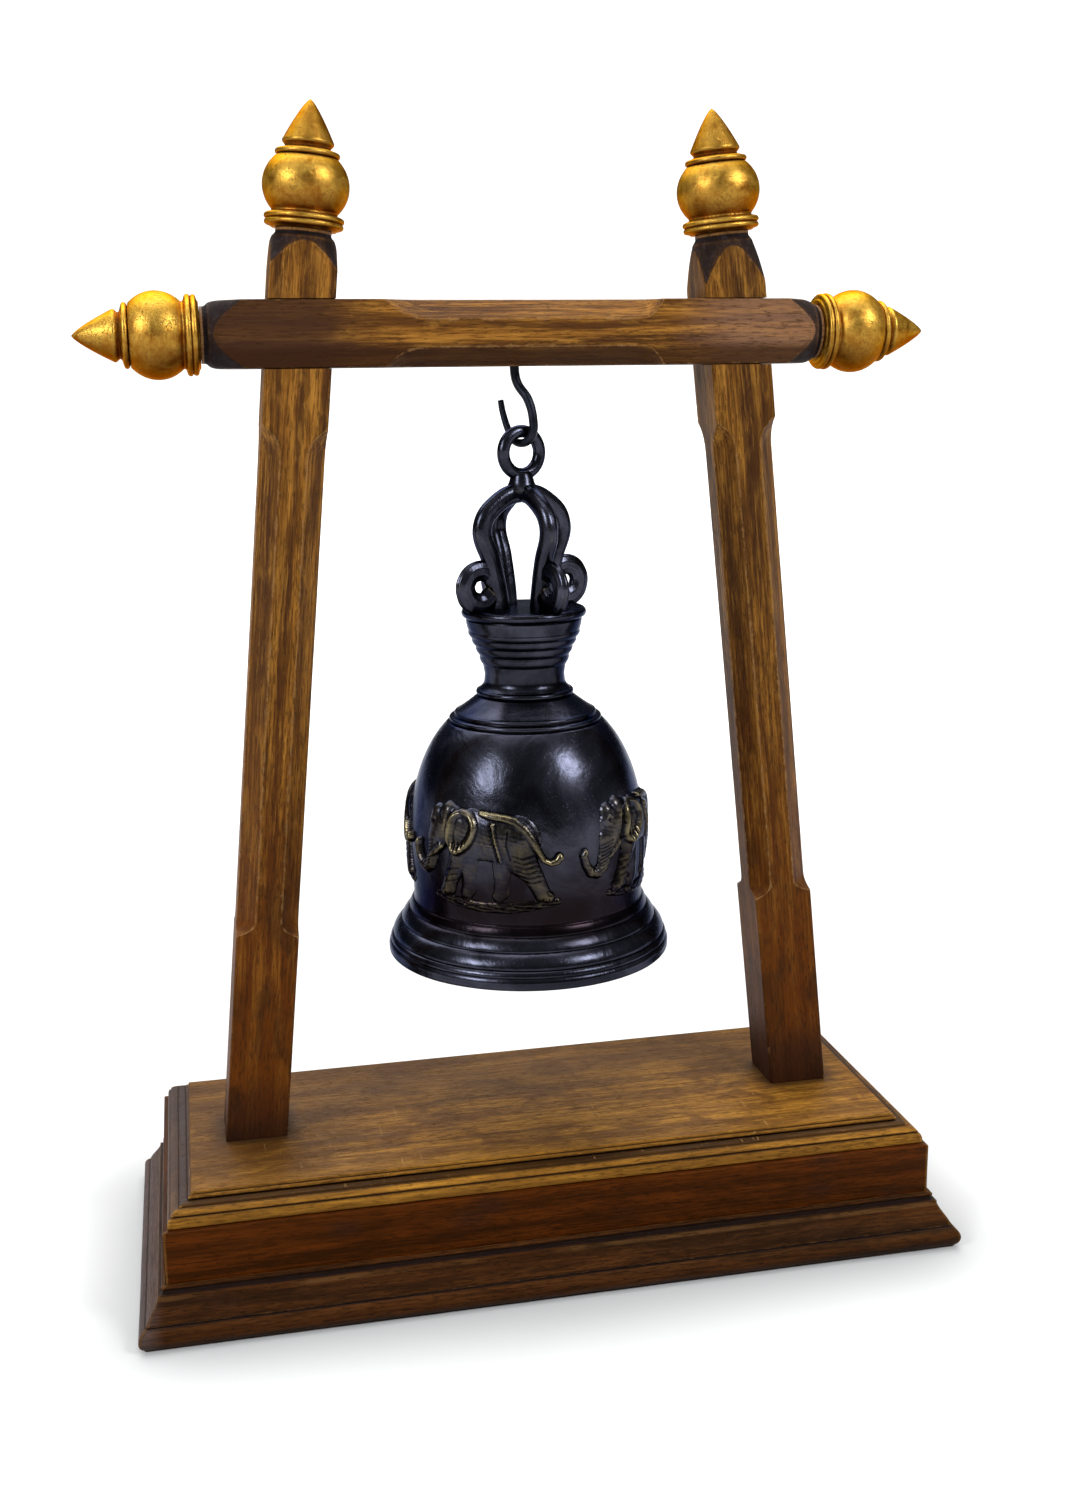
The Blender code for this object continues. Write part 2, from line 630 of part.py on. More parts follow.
# ================================================================ fixings
def make_post_fixings():
    """A screw and a washer under the board for each post, driven up into its foot."""
    washer_top = BOARD_BOTTOM - GAP
    head_top = washer_top - WASHER_THICKNESS - GAP
    hole = SCREW_RADIUS + GAP
    shank_top = head_top + SCREW_LENGTH - 2 * GAP
    for side, word in ((-1, "left"), (1, "right")):
        washer = turned(word + "_post_washer", [
            (hole, washer_top), (WASHER_RADIUS, washer_top), (WASHER_RADIUS, washer_top - WASHER_THICKNESS),
            (hole, washer_top - WASHER_THICKNESS), (hole, washer_top)], "zinc steel")
        head = SCREW_HEAD_RADIUS
        screw = turned(word + "_post_screw", [
            (0, shank_top), (SCREW_RADIUS * 0.4, shank_top - 0.002), (SCREW_RADIUS, shank_top - 0.008),
            (SCREW_RADIUS, head_top), (head, head_top), (head, head_top - SCREW_HEAD_HEIGHT * 0.4),
            (head * 0.7, head_top - SCREW_HEAD_HEIGHT * 0.9), (0, head_top - SCREW_HEAD_HEIGHT)],
            "zinc steel", segments=12)
        for obj in (washer, screw):
            obj.location.x = side * FOOT_SPREAD / 2


# ================================================================ hook
def hook_place(reach, rise):
    """A point in the hook's own upright plane: reach towards its tip, rise above the pivot."""
    return Vector((reach * math.cos(HOOK_TURN), reach * math.sin(HOOK_TURN), rise))


def make_hook():
    """A wire screw hook: straight shank, an easy sway, then the bowl and the tapered tip."""
    bend = HOOK_BEND
    shank = HOOK_SHANK_OFFSET
    path = [(shank, HOOK_DROP + HOOK_SHANK - GAP), (shank, HOOK_DROP + HOOK_SHANK / 2),
            (shank, HOOK_DROP)]
    path += [(shank * 0.6, HOOK_DROP * 0.80), (-bend * 0.62, HOOK_DROP * 0.56), (-bend, bend * 1.45)]
    path += [(bend * math.cos(math.radians(a)), bend + bend * math.sin(math.radians(a)))
             for a in (-165, -130, -90, -50, -15)]
    path += [((bend + HOOK_TIP_OFFSET) / 2 + 0.0008, (bend + HOOK_TIP_RISE) / 2),
             (HOOK_TIP_OFFSET, HOOK_TIP_RISE)]
    places = [hook_place(reach, rise + PIVOT_HEIGHT) for reach, rise in path]
    hook = tube("bell_hook", places, HOOK_WIRE, "black iron", resolution=2, tip_radius=HOOK_TIP)
    smooth(hook)


# ================================================================ bell
def neck_profile(top):
    """Rounded plate edge, stepped flare and the narrow neck, down to its torus."""
    points = [(0, top)]
    edge = PLATE_EDGE / 2
    points += arc((PLATE_RADIUS - edge * 0.4, top - edge), edge, 90, -20, 4)
    points = [(min(radius, PLATE_RADIUS), height) for radius, height in points]
    start = points[-1]
    flare = sweep(start, (start[0] - 0.0040, start[1] - 0.0075),
                  (NECK_WAIST, top - NECK_WAIST_DEPTH + 0.0110), (NECK_WAIST, top - NECK_WAIST_DEPTH),
                  2 * NECK_RINGS)
    for i, (radius, height) in enumerate(flare):
        points.append((radius + (0.0004 if i % 2 else -0.0003), height))
    points.append((NECK_WAIST + 0.0008, top - TORUS_DEPTH + TORUS_BEAD * 1.3))
    points += arc((TORUS_RADIUS - TORUS_BEAD, top - TORUS_DEPTH), TORUS_BEAD, 80, -70, 4)
    return points


def barrel_profile(top):
    """Sloping shoulder, its double ridge, the dome and the barrel down to the waist."""
    shoulder = (SHOULDER_RADIUS, top - SHOULDER_DEPTH)
    start = (TORUS_RADIUS - TORUS_BEAD * 0.4, top - TORUS_DEPTH - TORUS_BEAD * 1.6)
    points = [start]
    points += sweep(start, (start[0] + 0.0050, start[1] - 0.0028),
                    (shoulder[0] - 0.0040, shoulder[1] + 0.0040), shoulder, 3)
    ridge = 0.0010
    points += [(shoulder[0] + ridge, shoulder[1] - ridge), (shoulder[0] + ridge, shoulder[1] - 2 * ridge)]
    points += [(shoulder[0] + 2 * ridge, shoulder[1] - 2.6 * ridge),
               (shoulder[0] + 3 * ridge, shoulder[1] - 4 * ridge)]
    dome = points[-1]
    points += sweep(dome, (dome[0] + 0.0080, dome[1] - 0.0080),
                    (BARREL_RADIUS - 0.0002, top - BARREL_DEPTH + 0.0300),
                    (BARREL_RADIUS, top - BARREL_DEPTH), 7)
    points += sweep(points[-1], (BARREL_RADIUS, top - BARREL_DEPTH - 0.0120),
                    (WAIST_RADIUS, top - WAIST_DEPTH + 0.0100), (WAIST_RADIUS, top - WAIST_DEPTH), 2)
    return points


def lip_profile(top):
    """The flared lip with its stepped ridges, round the rim to the inner wall."""
    rim = top - BELL_HEIGHT
    waist = (WAIST_RADIUS, top - WAIST_DEPTH)
    crest = (RIM_RADIUS - 0.0004, rim + 0.0030)
    flare = sweep(waist, (waist[0] + 0.0010, waist[1] - 0.0080), (crest[0] - 0.0030, crest[1] + 0.0110),
                  crest, 2 * LIP_STEPS + 3)
    points = flare[:3]
    for i, (radius, height) in enumerate(flare[3:]):
        points.append((radius + (LIP_STEP if i % 2 == 0 and i < 2 * LIP_STEPS - 1 else 0), height))
    points += [(RIM_RADIUS, rim + 0.0014), (RIM_RADIUS - 0.0010, rim),
               (RIM_RADIUS - LIP_WALL + 0.0012, rim), (RIM_RADIUS - LIP_WALL, rim + 0.0010)]
    return points


def hollow_profile(top):
    """The inner wall, from the rim up to the middle of the crown plate's underside."""
    rim = (RIM_RADIUS - LIP_WALL, top - BELL_HEIGHT + 0.0010)
    waist = (WAIST_RADIUS - WALL, top - WAIST_DEPTH + 0.0020)
    points = sweep(rim, (rim[0] - 0.0035, rim[1] + 0.0090), (waist[0] + 0.0010, waist[1] - 0.0100), waist, 5)
    barrel = (BARREL_RADIUS - WALL, top - BARREL_DEPTH)
    points += sweep(waist, (waist[0], waist[1] + 0.0080), (barrel[0], barrel[1] - 0.0100), barrel, 2)
    shoulder = (SHOULDER_RADIUS - 0.4 * WALL, top - SHOULDER_DEPTH - 1.6 * WALL)
    points += sweep(barrel, (barrel[0] - 0.0005, barrel[1] + 0.0280),
                    (shoulder[0] + 0.0080, shoulder[1] - 0.0080), shoulder, 6)
    throat = (NECK_BORE, top - TORUS_DEPTH - TORUS_BEAD - WALL)
    points += [(NECK_BORE + 0.0060, throat[1] - 0.0012), throat]
    points += [(NECK_BORE, top - PLATE_THICKNESS), (0, top - PLATE_THICKNESS)]
    return points


def leg_arch(name, top):
    """Two opposite legs of the crown as one wire over the top, in the XZ plane."""
    side = [(LEG_FOOT, top - 0.0030), (LEG_FOOT + 0.0004, top + LEG_WIRE),
            (LEG_PINCH, top + LEG_PINCH_RISE), (LEG_BULGE, top + LEG_BULGE_RISE),
            (LEG_BULGE * 0.62, (top + LEG_BULGE_RISE - LEG_TOP_DROP) / 2 + 0.0032)]
    points = [Vector((-x, 0, z)) for x, z in side]
    points += [Vector((0, 0, -LEG_TOP_DROP))]
    points += [Vector((x, 0, z)) for x, z in reversed(side)]
    return tube(name, points, LEG_WIRE, resolution=2)


def leg_scroll(name, top):
    """The scroll at a leg's foot: out along the plate, up and back to the leg."""
    centre = (SCROLL_REACH, top + SCROLL_BEND + SCROLL_WIRE - 0.0004)
    points = [Vector((x, 0, z)) for x, z in arc(centre, SCROLL_BEND, -150, 165, 7)]
    return tube(name, points, SCROLL_WIRE, resolution=2, tip_radius=SCROLL_WIRE * 0.85)


def crown_ring():
    """The ring that the bell hangs by, its hole facing along Y."""
    made = ring("crown ring", RING_HOLE, RING_WIRE, (24, 10))
    bake(made, Matrix.Translation((0, 0, HOOK_WIRE + GAP - RING_HOLE))
         @ Matrix.Rotation(math.radians(90), 4, "X"))
    return made


def make_bell():
    """The casting: turned body, crown of four scrolled legs, and the ring that it hangs by."""
    top = -CROWN_HEIGHT
    profile = neck_profile(top) + barrel_profile(top) + lip_profile(top) + hollow_profile(top)
    bell = turned("bell", profile, "bronze", segments=BELL_FACETS)
    ring_foot = HOOK_WIRE + GAP - 2 * RING_HOLE - RING_WIRE
    knuckle = turned("crown knuckle", [
        (0, ring_foot + RING_WIRE * 0.6), (KNUCKLE_RADIUS * 0.8, ring_foot + RING_WIRE * 0.5),
        (KNUCKLE_RADIUS, ring_foot - RING_WIRE * 0.5), (KNUCKLE_RADIUS * 1.15, -LEG_TOP_DROP),
        (0, -LEG_TOP_DROP - LEG_WIRE * 0.5)], segments=12)
    pieces = [knuckle, crown_ring()]
    for quarter in range(2):
        arch = leg_arch(f"crown arch {quarter}", top)
        bake(arch, Matrix.Rotation(math.radians(90) * quarter, 4, "Z"))
        pieces.append(arch)
    for quarter in range(4):
        scroll = leg_scroll(f"crown scroll {quarter}", top)
        bake(scroll, Matrix.Rotation(math.radians(90) * quarter, 4, "Z"))
        pieces.append(scroll)
    fuse(bell, *pieces)
    place = Matrix.Translation((0, 0, PIVOT_HEIGHT)) @ Matrix.Rotation(BELL_TURN, 4, "Z")
    for obj in [bell] + pieces:
        obj.matrix_world = place
    for side in (-1, 1):
        socket = rod(f"staple socket {side}", STAPLE_WIRE + GAP, -OVERSHOOT, STAPLE_SEAT + GAP, segments=12)
        bake(socket, Matrix.Translation((side * STAPLE_SPAN / 2, 0, 0)))
        socket.matrix_world = (Matrix.Translation((0, 0, PIVOT_HEIGHT + top - PLATE_THICKNESS))
                               @ Matrix.Rotation(SWING_TURN, 4, "Z"))
        cut(bell, socket)


# ================================================================ clapper
def clapper_frame():
    """Origin in the middle of the staple's bend, X along it."""
    return (Matrix.Translation((0, 0, PIVOT_HEIGHT - STAPLE_DEPTH))
            @ Matrix.Rotation(SWING_TURN, 4, "Z"))


def make_staple():
    """A U of wire cast into the crown plate, that the clapper hangs on."""
    leg = STAPLE_SPAN / 2
    top = STAPLE_DROP + STAPLE_SEAT - GAP
    bend = STAPLE_BEND
    points = [Vector((-leg, 0, top)), Vector((-leg, 0, top / 2)), Vector((-leg, 0, bend))]
    points += [Vector((-leg + bend / 4, 0, bend / 4)), Vector((-leg + bend, 0, 0))]
    points += [Vector((-point.x, 0, point.z)) for point in reversed(points)]
    staple = tube("clapper_staple", points, STAPLE_WIRE, "black iron", resolution=2)
    smooth(staple)
    staple.matrix_world = clapper_frame()


def make_clapper():
    """An iron rod with an eye over the staple, and a turned ball driven onto its end."""
    eye_centre = STAPLE_WIRE + GAP - EYE_HOLE
    eye = ring("clapper_rod", EYE_HOLE, EYE_WIRE, (20, 8), "black iron")
    bake(eye, Matrix.Translation((0, 0, eye_centre)) @ Matrix.Rotation(math.radians(90), 4, "Y"))
    smooth(eye)
    rod_top = eye_centre - EYE_HOLE - EYE_WIRE
    ball_top = -CLAPPER_LENGTH + BALL_RADIUS + BALL_NECK_LENGTH
    bore_bottom = ball_top - BALL_BORE_DEPTH
    shaft = rod("clapper shaft", ROD_RADIUS, bore_bottom + GAP, rod_top, segments=12)
    fuse(eye, shaft)
    profile = [(0, ball_top), (BALL_NECK, ball_top)]
    profile += arc((0, -CLAPPER_LENGTH), BALL_RADIUS, 66, -90, 9)
    ball = turned("clapper_ball", profile, "black iron")
    bore = rod("ball bore", ROD_RADIUS + GAP, bore_bottom, ball_top + OVERSHOOT, segments=12)
    cut(ball, bore)
    for obj in (eye, shaft, ball, bore):
        obj.matrix_world = clapper_frame()


def main():
    clear_scene()
    new_collection("sanctus_bell")
    new_collection("cutters")
    make_finishes()
    make_base()
    make_post(-1, "left_post")
    make_post(1, "right_post")
    make_crossbar()
    make_finials()
    make_post_fixings()
    make_hook()
    make_bell()
    make_staple()
    make_clapper()


main()
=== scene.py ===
"""A cast bell on its leaning hardwood stand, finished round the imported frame.

Metres, +Z up, X along the crossbar, -Y to the front, origin on the floor under the base.
"""
import math

import bmesh
import bpy
import numpy as np
from bpy.props import FloatProperty, FloatVectorProperty, IntProperty, PointerProperty
from mathutils import Matrix, Vector


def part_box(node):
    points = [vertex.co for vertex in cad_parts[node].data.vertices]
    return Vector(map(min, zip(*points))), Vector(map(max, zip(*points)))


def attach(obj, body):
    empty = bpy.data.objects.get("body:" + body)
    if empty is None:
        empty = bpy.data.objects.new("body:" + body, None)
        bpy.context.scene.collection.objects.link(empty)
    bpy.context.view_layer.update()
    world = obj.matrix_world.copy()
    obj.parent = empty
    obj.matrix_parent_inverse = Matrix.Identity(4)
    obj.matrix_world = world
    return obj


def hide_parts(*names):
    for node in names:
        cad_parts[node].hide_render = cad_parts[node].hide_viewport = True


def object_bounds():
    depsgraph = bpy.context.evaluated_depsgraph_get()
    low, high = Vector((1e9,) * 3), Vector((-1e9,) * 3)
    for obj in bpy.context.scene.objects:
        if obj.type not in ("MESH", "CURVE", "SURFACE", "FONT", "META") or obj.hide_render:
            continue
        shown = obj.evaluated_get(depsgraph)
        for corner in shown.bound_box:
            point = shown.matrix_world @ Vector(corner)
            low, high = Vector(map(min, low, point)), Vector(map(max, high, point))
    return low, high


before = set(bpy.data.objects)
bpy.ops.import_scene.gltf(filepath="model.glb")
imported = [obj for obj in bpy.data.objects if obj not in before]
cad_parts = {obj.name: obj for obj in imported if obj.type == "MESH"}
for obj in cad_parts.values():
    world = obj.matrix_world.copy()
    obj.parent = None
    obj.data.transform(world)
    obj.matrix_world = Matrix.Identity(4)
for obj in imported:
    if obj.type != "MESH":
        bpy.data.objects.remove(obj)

bl_info = {
    "name": "Sanctus Bell",
    "version": (1, 0, 0),
    "blender": (4, 5, 0),
    "location": "View3D > Sidebar > Sanctus Bell",
    "description": "Builds a cast bell on its leaning hardwood stand round a packed frame",
    "category": "Add Mesh",
}

# ---------------------------------------------------------------- what the frame gives
CAD_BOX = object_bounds()
GAP = 0.0003                    # left between glued pieces, so that their faces never coincide
QUARTER = math.radians(90)
ENDS = ((-1, "left"), (1, "right"))

# the base
BOARD_END, BOARD_SIDE, BOARD_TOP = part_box("top_board")[1]
BOARD_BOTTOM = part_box("top_board")[0].z
BOARD_NOSE = 0.0016             # upright part of the board's edge, under its reeds
REED_ANGLES = (29, 63)          # where the grooves between the reeds lie, in degrees round the edge
SKIRT_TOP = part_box("front_skirt")[1].z
SKIRT_CAP = SKIRT_TOP - 0.0041  # the pale cap under the skirt's sunk groove

# the frame: two posts that lean inwards, and the bar across them
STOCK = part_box("crossbar")[1].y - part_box("crossbar")[0].y
BAR_AXIS = (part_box("crossbar")[0].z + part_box("crossbar")[1].z) / 2
TENON = 0.015
POST_SEAT = 0.0455              # from the crossing up to the finial's seat on a post
BAR_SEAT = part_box("crossbar")[1].x - TENON
LEAN = math.atan(0.1)
FOOT = (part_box("right_post_washer")[0].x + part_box("right_post_washer")[1].x) / 2
CROSSING = FOOT - (BAR_AXIS - BOARD_TOP) * math.tan(LEAN)

# the bell, hung from the hook's wire at the pivot
HOOK_DROP = 0.0355
HOOK_SHANK, HOOK_WIRE = 0.0033, 0.0022      # the shank's place off the pivot, the wire's radius
HOOK_TURN = math.radians(135)
PIVOT = BAR_AXIS - STOCK / 2 - HOOK_DROP
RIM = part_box("bell")[0].z
RIM_RADIUS = (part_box("bell")[1].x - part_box("bell")[0].x) / 2
CROWN_PLATE = RIM + 0.1715


# ---------------------------------------------------------------- settings
def size(name, text, default):
    return FloatProperty(name=name, description=text, default=default, unit="LENGTH", precision=5)


def share(name, text, default):
    return FloatProperty(name=name, description=text, default=default, min=0, max=4, subtype="FACTOR")


def count(name, text, default):
    return IntProperty(name=name, description=text, default=default, min=3)


def colour(name, text, default):
    return FloatVectorProperty(name=name, description=text, default=default, size=3, min=0, max=1,
                               subtype="COLOR")


class BaseSettings(bpy.types.PropertyGroup):
    board_edge: size("Board Edge", "Width of the moulding round the board", 0.0115)
    board_step: size("Board Step", "Depth of the upper fillet of the board's moulding", 0.0035)
    apron_thickness: size("Apron Thickness", "Thickness of the sides under the board", 0.014)
    apron_arris: size("Apron Arris", "Rounding of the aprons' upper edge", 0.001)
    skirt_height: size("Skirt Height", "Height of the base moulding", 0.0262)
    skirt_width: size("Skirt Width", "How far the base moulding stands out", 0.013)
    skirt_bead: size("Skirt Bead", "Radius of the bead along the foot", 0.0056)
    unevenness: size("Unevenness", "How far hand work wanders from the true line", 0.00022)


class StickSettings(bpy.types.PropertyGroup):
    worn_edge: size("Worn Edge", "Reach of the rounding at the square's edges", 0.0022)
    stop_edge: size("Stop Edge", "Reach of the rounding at the chamfers' edges", 0.0007)
    dome_length: size("Dome Length", "Turned dome at each free end", 0.0180)
    neck_radius: size("Neck Radius", "Turned neck under a finial", 0.0126)
    foot_block: size("Foot Block", "Square length at the foot of a post", 0.104)
    joint_block: size("Joint Block", "Square length from the crossing down a post", 0.040)
    bar_block: size("Bar Block", "Square length from the crossing in along the bar", 0.036)
    sides: count("Sides", "Facets round a stick", 168)


class FinialSettings(bpy.types.PropertyGroup):
    length: size("Length", "Seat to tip", 0.0558)
    collar: size("Collar", "Radius of the collar at the seat", 0.0180)
    belly: size("Belly", "Radius of the belly", 0.0195)
    ring: size("Ring", "Radius of the ring over the belly", 0.0145)
    spire: size("Spire", "Radius of the spire's foot", 0.0116)
    facets: count("Facets", "Facets round a finial", 96)


class BellSettings(bpy.types.PropertyGroup):
    plate: size("Plate", "Radius of the crown plate", 0.0304)
    neck: size("Neck", "Radius of the neck at its narrowest", 0.0198)
    torus: size("Torus", "Radius of the ring under the neck", 0.0241)
    barrel: size("Barrel", "Radius of the barrel", 0.0580)
    waist: size("Waist", "Radius of the narrowest place above the lip", 0.0571)
    lip_wall: size("Lip Wall", "Thickness at the rim", 0.0056)
    wall: size("Wall", "Thickness of the barrel", 0.0042)
    neck_beads: count("Neck Beads", "Turned beads on the flare over the neck", 4)
    facets: count("Facets", "Facets round the bell", 208)


class CrownSettings(bpy.types.PropertyGroup):
    turn: FloatProperty(name="Turn", description="Turn of the legs about the bell's axis",
                        default=math.radians(21), subtype="ANGLE")
    leg_width: size("Leg Width", "Half a leg's width, seen end on", 0.0048)
    leg_depth: size("Leg Depth", "Half a leg's thickness, seen from the side", 0.0042)
    scroll_width: size("Scroll Width", "Half a scroll's width, seen end on", 0.0056)
    scroll_depth: size("Scroll Depth", "Half a scroll's thickness, seen from the side", 0.0033)
    crease: share("Crease", "Depth of the creases along legs and scrolls", 0.07)


class ReliefSettings(bpy.types.PropertyGroup):
    elephants: count("Elephants", "Elephants round the barrel", 4)
    rise: size("Rise", "How far an elephant's body stands out", 0.0052)
    grid: size("Grid", "Spacing of the relief's points", 0.00049)
    ground: size("Ground", "Height of the ground line above the rim", 0.0390)
    start: FloatProperty(name="Start", description="Turn of the first elephant from the front",
                         default=math.radians(-32), subtype="ANGLE")


class FinishSettings(bpy.types.PropertyGroup):
    wood_light: colour("Light Wood", "Worn, pale streaks of the frame", (0.31, 0.142, 0.024))
    wood_warm: colour("Warm Wood", "Body colour of the frame", (0.155, 0.060, 0.009))
    wood_dark: colour("Dark Wood", "Dark streaks of the frame", (0.036, 0.013, 0.005))
    apron_warm: colour("Apron Wood", "Body colour of the base's sides", (0.047, 0.0098, 0.0008))
    raw_wood: colour("Raw Wood", "Unfinished wood inside the base", (0.30, 0.19, 0.10))
    gold_bright: colour("Bright Gold", "Gold leaf where it is whole", (0.43, 0.250, 0.040))
    gold_deep: colour("Deep Gold", "Gold leaf in the hollows", (0.19, 0.064, 0.006))
    bole: colour("Bole", "Ground that shows through worn leaf", (0.045, 0.012, 0.005))
    bronze: colour("Bronze", "Dark patina of the bell", (0.0270, 0.0280, 0.0390))
    olive: colour("Olive Bronze", "Patina on the relief's high places", (0.085, 0.068, 0.036))
    # also the colour of the painted highlight on the relief's crests
    rubbed_and_highlight: colour("Rubbed Bronze", "Metal where hands rub the edges", (0.27, 0.225, 0.115))
    iron: colour("Iron", "Blacked iron of hook and clapper", (0.014, 0.015, 0.021))
    zinc: colour("Zinc", "Plating of screws and washers", (0.46, 0.46, 0.45))


class StageSettings(bpy.types.PropertyGroup):
    camera: FloatVectorProperty(name="Camera", description="Where the camera stands", size=3,
                                default=(-0.15928, -0.76942, 0.42523), subtype="TRANSLATION")
    heading: FloatProperty(name="Heading", description="Camera's turn from the front towards the right",
                           default=math.radians(12.21), subtype="ANGLE")
    tilt: FloatProperty(name="Tilt", description="How far the camera looks down",
                        default=math.radians(12.80), subtype="ANGLE")
    roll: FloatProperty(name="Roll", description="Camera's roll", default=math.radians(-0.73),
                        subtype="ANGLE")
    lens: FloatProperty(name="Lens", description="Focal length in millimetres", default=38.78)
    floor: colour("Floor", "Colour of the floor", (0.37, 0.37, 0.37))


class BellStandSettings(bpy.types.PropertyGroup):
    base: PointerProperty(type=BaseSettings)
    sticks: PointerProperty(type=StickSettings)
    finials: PointerProperty(type=FinialSettings)
    bell: PointerProperty(type=BellSettings)
    crown: PointerProperty(type=CrownSettings)
    relief: PointerProperty(type=ReliefSettings)
    finish: PointerProperty(type=FinishSettings)
    stage: PointerProperty(type=StageSettings)


# ---------------------------------------------------------------- node trees
class Field:
    """A number in a node tree. Arithmetic on it adds nodes to the tree."""

    def __init__(self, socket):
        self.socket = socket

    def math(self, operation, *others):
        return calculate(operation, self, *others)

    def __add__(self, other):
        return self.math("ADD", other)

    def __sub__(self, other):
        return self.math("SUBTRACT", other)

    def __rsub__(self, other):
        return calculate("SUBTRACT", other, self)

    def __mul__(self, other):
        return self.math("MULTIPLY", other)

    def __truediv__(self, other):
        return self.math("DIVIDE", other)

    def __pow__(self, other):
        return self.math("POWER", other)

    def __abs__(self):
        return self.math("ABSOLUTE")

    __radd__ = __add__
    __rmul__ = __mul__

    def at_least(self, other):
        return self.math("MAXIMUM", other)

    def at_most(self, other):
        return self.math("MINIMUM", other)

    def clamp(self):
        return self.at_most(1.0).at_least(0.0)

    def step(self, low, high):
        """0 below low, 1 above high, and a soft step between them."""
        ranged = add(tree_of(self), "ShaderNodeMapRange",
                     {"Value": self, "From Min": low, "From Max": high}, interpolation_type="SMOOTHSTEP")
        return Field(ranged.outputs["Result"])

    def fall(self, low, high):
        """1 below low, 0 above high, and a soft step between them."""
        return 1.0 - self.step(low, high)


def tree_of(*values):
    """The tree that the first field or socket among the values stands in."""
    sockets = (value.socket if isinstance(value, Field) else value for value in values)
    return next(socket for socket in sockets if isinstance(socket, bpy.types.NodeSocket)).id_data


def feed(slot, value):
    """Link a field or a socket to the slot, or set the slot to a plain value."""
    if isinstance(value, Field):
        value = value.socket
    if isinstance(value, bpy.types.NodeSocket):
        slot.id_data.links.new(value, slot)
    else:
        slot.default_value = value


def add(tree, kind, inputs=None, **choices):
    """A new node with its choices made and its inputs fed."""
    node = tree.nodes.new(kind)
    for name, value in choices.items():
        setattr(node, name, value)
    for name, value in (inputs or {}).items():
        feed(node.inputs[name], value)
    return node


def calculate(operation, *values):
    """One step of arithmetic on fields and numbers."""
    node = add(tree_of(*values), "ShaderNodeMath", dict(enumerate(values)), operation=operation)
    return Field(node.outputs[0])


def combine(x, y, z):
    return add(tree_of(x, y, z), "ShaderNodeCombineXYZ", {"X": x, "Y": y, "Z": z}).outputs[0]


def polar(radius, turn, z):
    """The position at a radius and a turn about Z."""
    return combine(radius * turn.math("COSINE"), radius * turn.math("SINE"), z)


def separate(vector):
    """x, y and z of a vector."""
    node = add(tree_of(vector), "ShaderNodeSeparateXYZ", {"Vector": vector})
    return [Field(socket) for socket in node.outputs]


SOCKETS = {int: "NodeSocketInt", float: "NodeSocketFloat", "material": "NodeSocketMaterial",
           "object": "NodeSocketObject"}


def begin_tree(name, sizes):
    """A tree with a geometry input, a finish and named sizes. Returns it and its inputs."""
    tree = bpy.data.node_groups.new(name, "GeometryNodeTree")
    face = tree.interface
    face.new_socket("Geometry", in_out="INPUT", socket_type="NodeSocketGeometry")
    face.new_socket("Finish", in_out="INPUT", socket_type=SOCKETS["material"])
    for label, start in sizes.items():
        kind = start if isinstance(start, str) else type(start)
        socket = face.new_socket(label, in_out="INPUT", socket_type=SOCKETS[kind])
        if kind is not start:
            socket.default_value = start
    face.new_socket("Geometry", in_out="OUTPUT", socket_type="NodeSocketGeometry")
    entry = tree.nodes.new("NodeGroupInput")
    return tree, {socket.name: Field(socket) for socket in entry.outputs if socket.name}


def end_tree(tree, inputs, geometry):
    """Coat the geometry with the finish and give it out."""
    real = add(tree, "GeometryNodeRealizeInstances", {"Geometry": geometry})
    coated = add(tree, "GeometryNodeSetMaterial", {"Geometry": real.outputs[0],
                                                   "Material": inputs["Finish"]})
    add(tree, "NodeGroupOutput", {"Geometry": coated.outputs[0]})
    return tree


def store(geometry, name, value, domain="POINT"):
    """Give each point a number to carry."""
    node = add(tree_of(geometry), "GeometryNodeStoreNamedAttribute",
               {"Geometry": geometry, "Name": name, "Value": value}, data_type="FLOAT", domain=domain)
    return node.outputs[0]


def recall(tree, name):
    """A number that the geometry's points carry."""
    node = add(tree, "GeometryNodeInputNamedAttribute", {"Name": name}, data_type="FLOAT")
    return Field(node.outputs[0])


def index(tree):
    return Field(tree.nodes.new("GeometryNodeInputIndex").outputs[0])


def place(geometry, position):
    """Move each point to the position."""
    node = add(tree_of(geometry), "GeometryNodeSetPosition", {"Geometry": geometry, "Position": position})
    return node.outputs[0]


def circle(tree, sides):
    """A unit circle whose points know their turn."""
    ring = add(tree, "GeometryNodeCurvePrimitiveCircle", {"Resolution": sides, "Radius": 1.0})
    return store(ring.outputs[0], "turn", index(tree) / sides * math.tau)


def uneven(geometry, amount, scale):
    """Push the surface in and out by a smooth noise of that many waves in a metre."""
    tree = tree_of(geometry)
    at = tree.nodes.new("GeometryNodeInputPosition").outputs[0]
    waves = add(tree, "ShaderNodeTexNoise", {"Vector": at, "Scale": scale, "Detail": 3.0})
    push = (Field(waves.outputs[0]) - 0.5) * 2.0 * amount
    normal = tree.nodes.new("GeometryNodeInputNormal").outputs[0]
    offset = add(tree, "ShaderNodeVectorMath", {0: normal, "Scale": push}, operation="SCALE")
    moved = add(tree, "GeometryNodeSetPosition", {"Geometry": geometry, "Offset": offset.outputs[0]})
    return moved.outputs[0]


def line_curve(line):
    """A line mesh as a curve. Its points keep what they carry."""
    return add(tree_of(line), "GeometryNodeMeshToCurve", {"Mesh": line}).outputs[0]


def drawn_along(path, section, caps=False, scale=None):
    """The surface that a section makes along a path. It keeps what the points of both carry."""
    surface = add(tree_of(path), "GeometryNodeCurveToMesh",
                  {"Curve": path, "Profile Curve": section, "Fill Caps": caps})
    if scale:
        feed(surface.inputs["Scale"], scale)
    return surface.outputs[0]


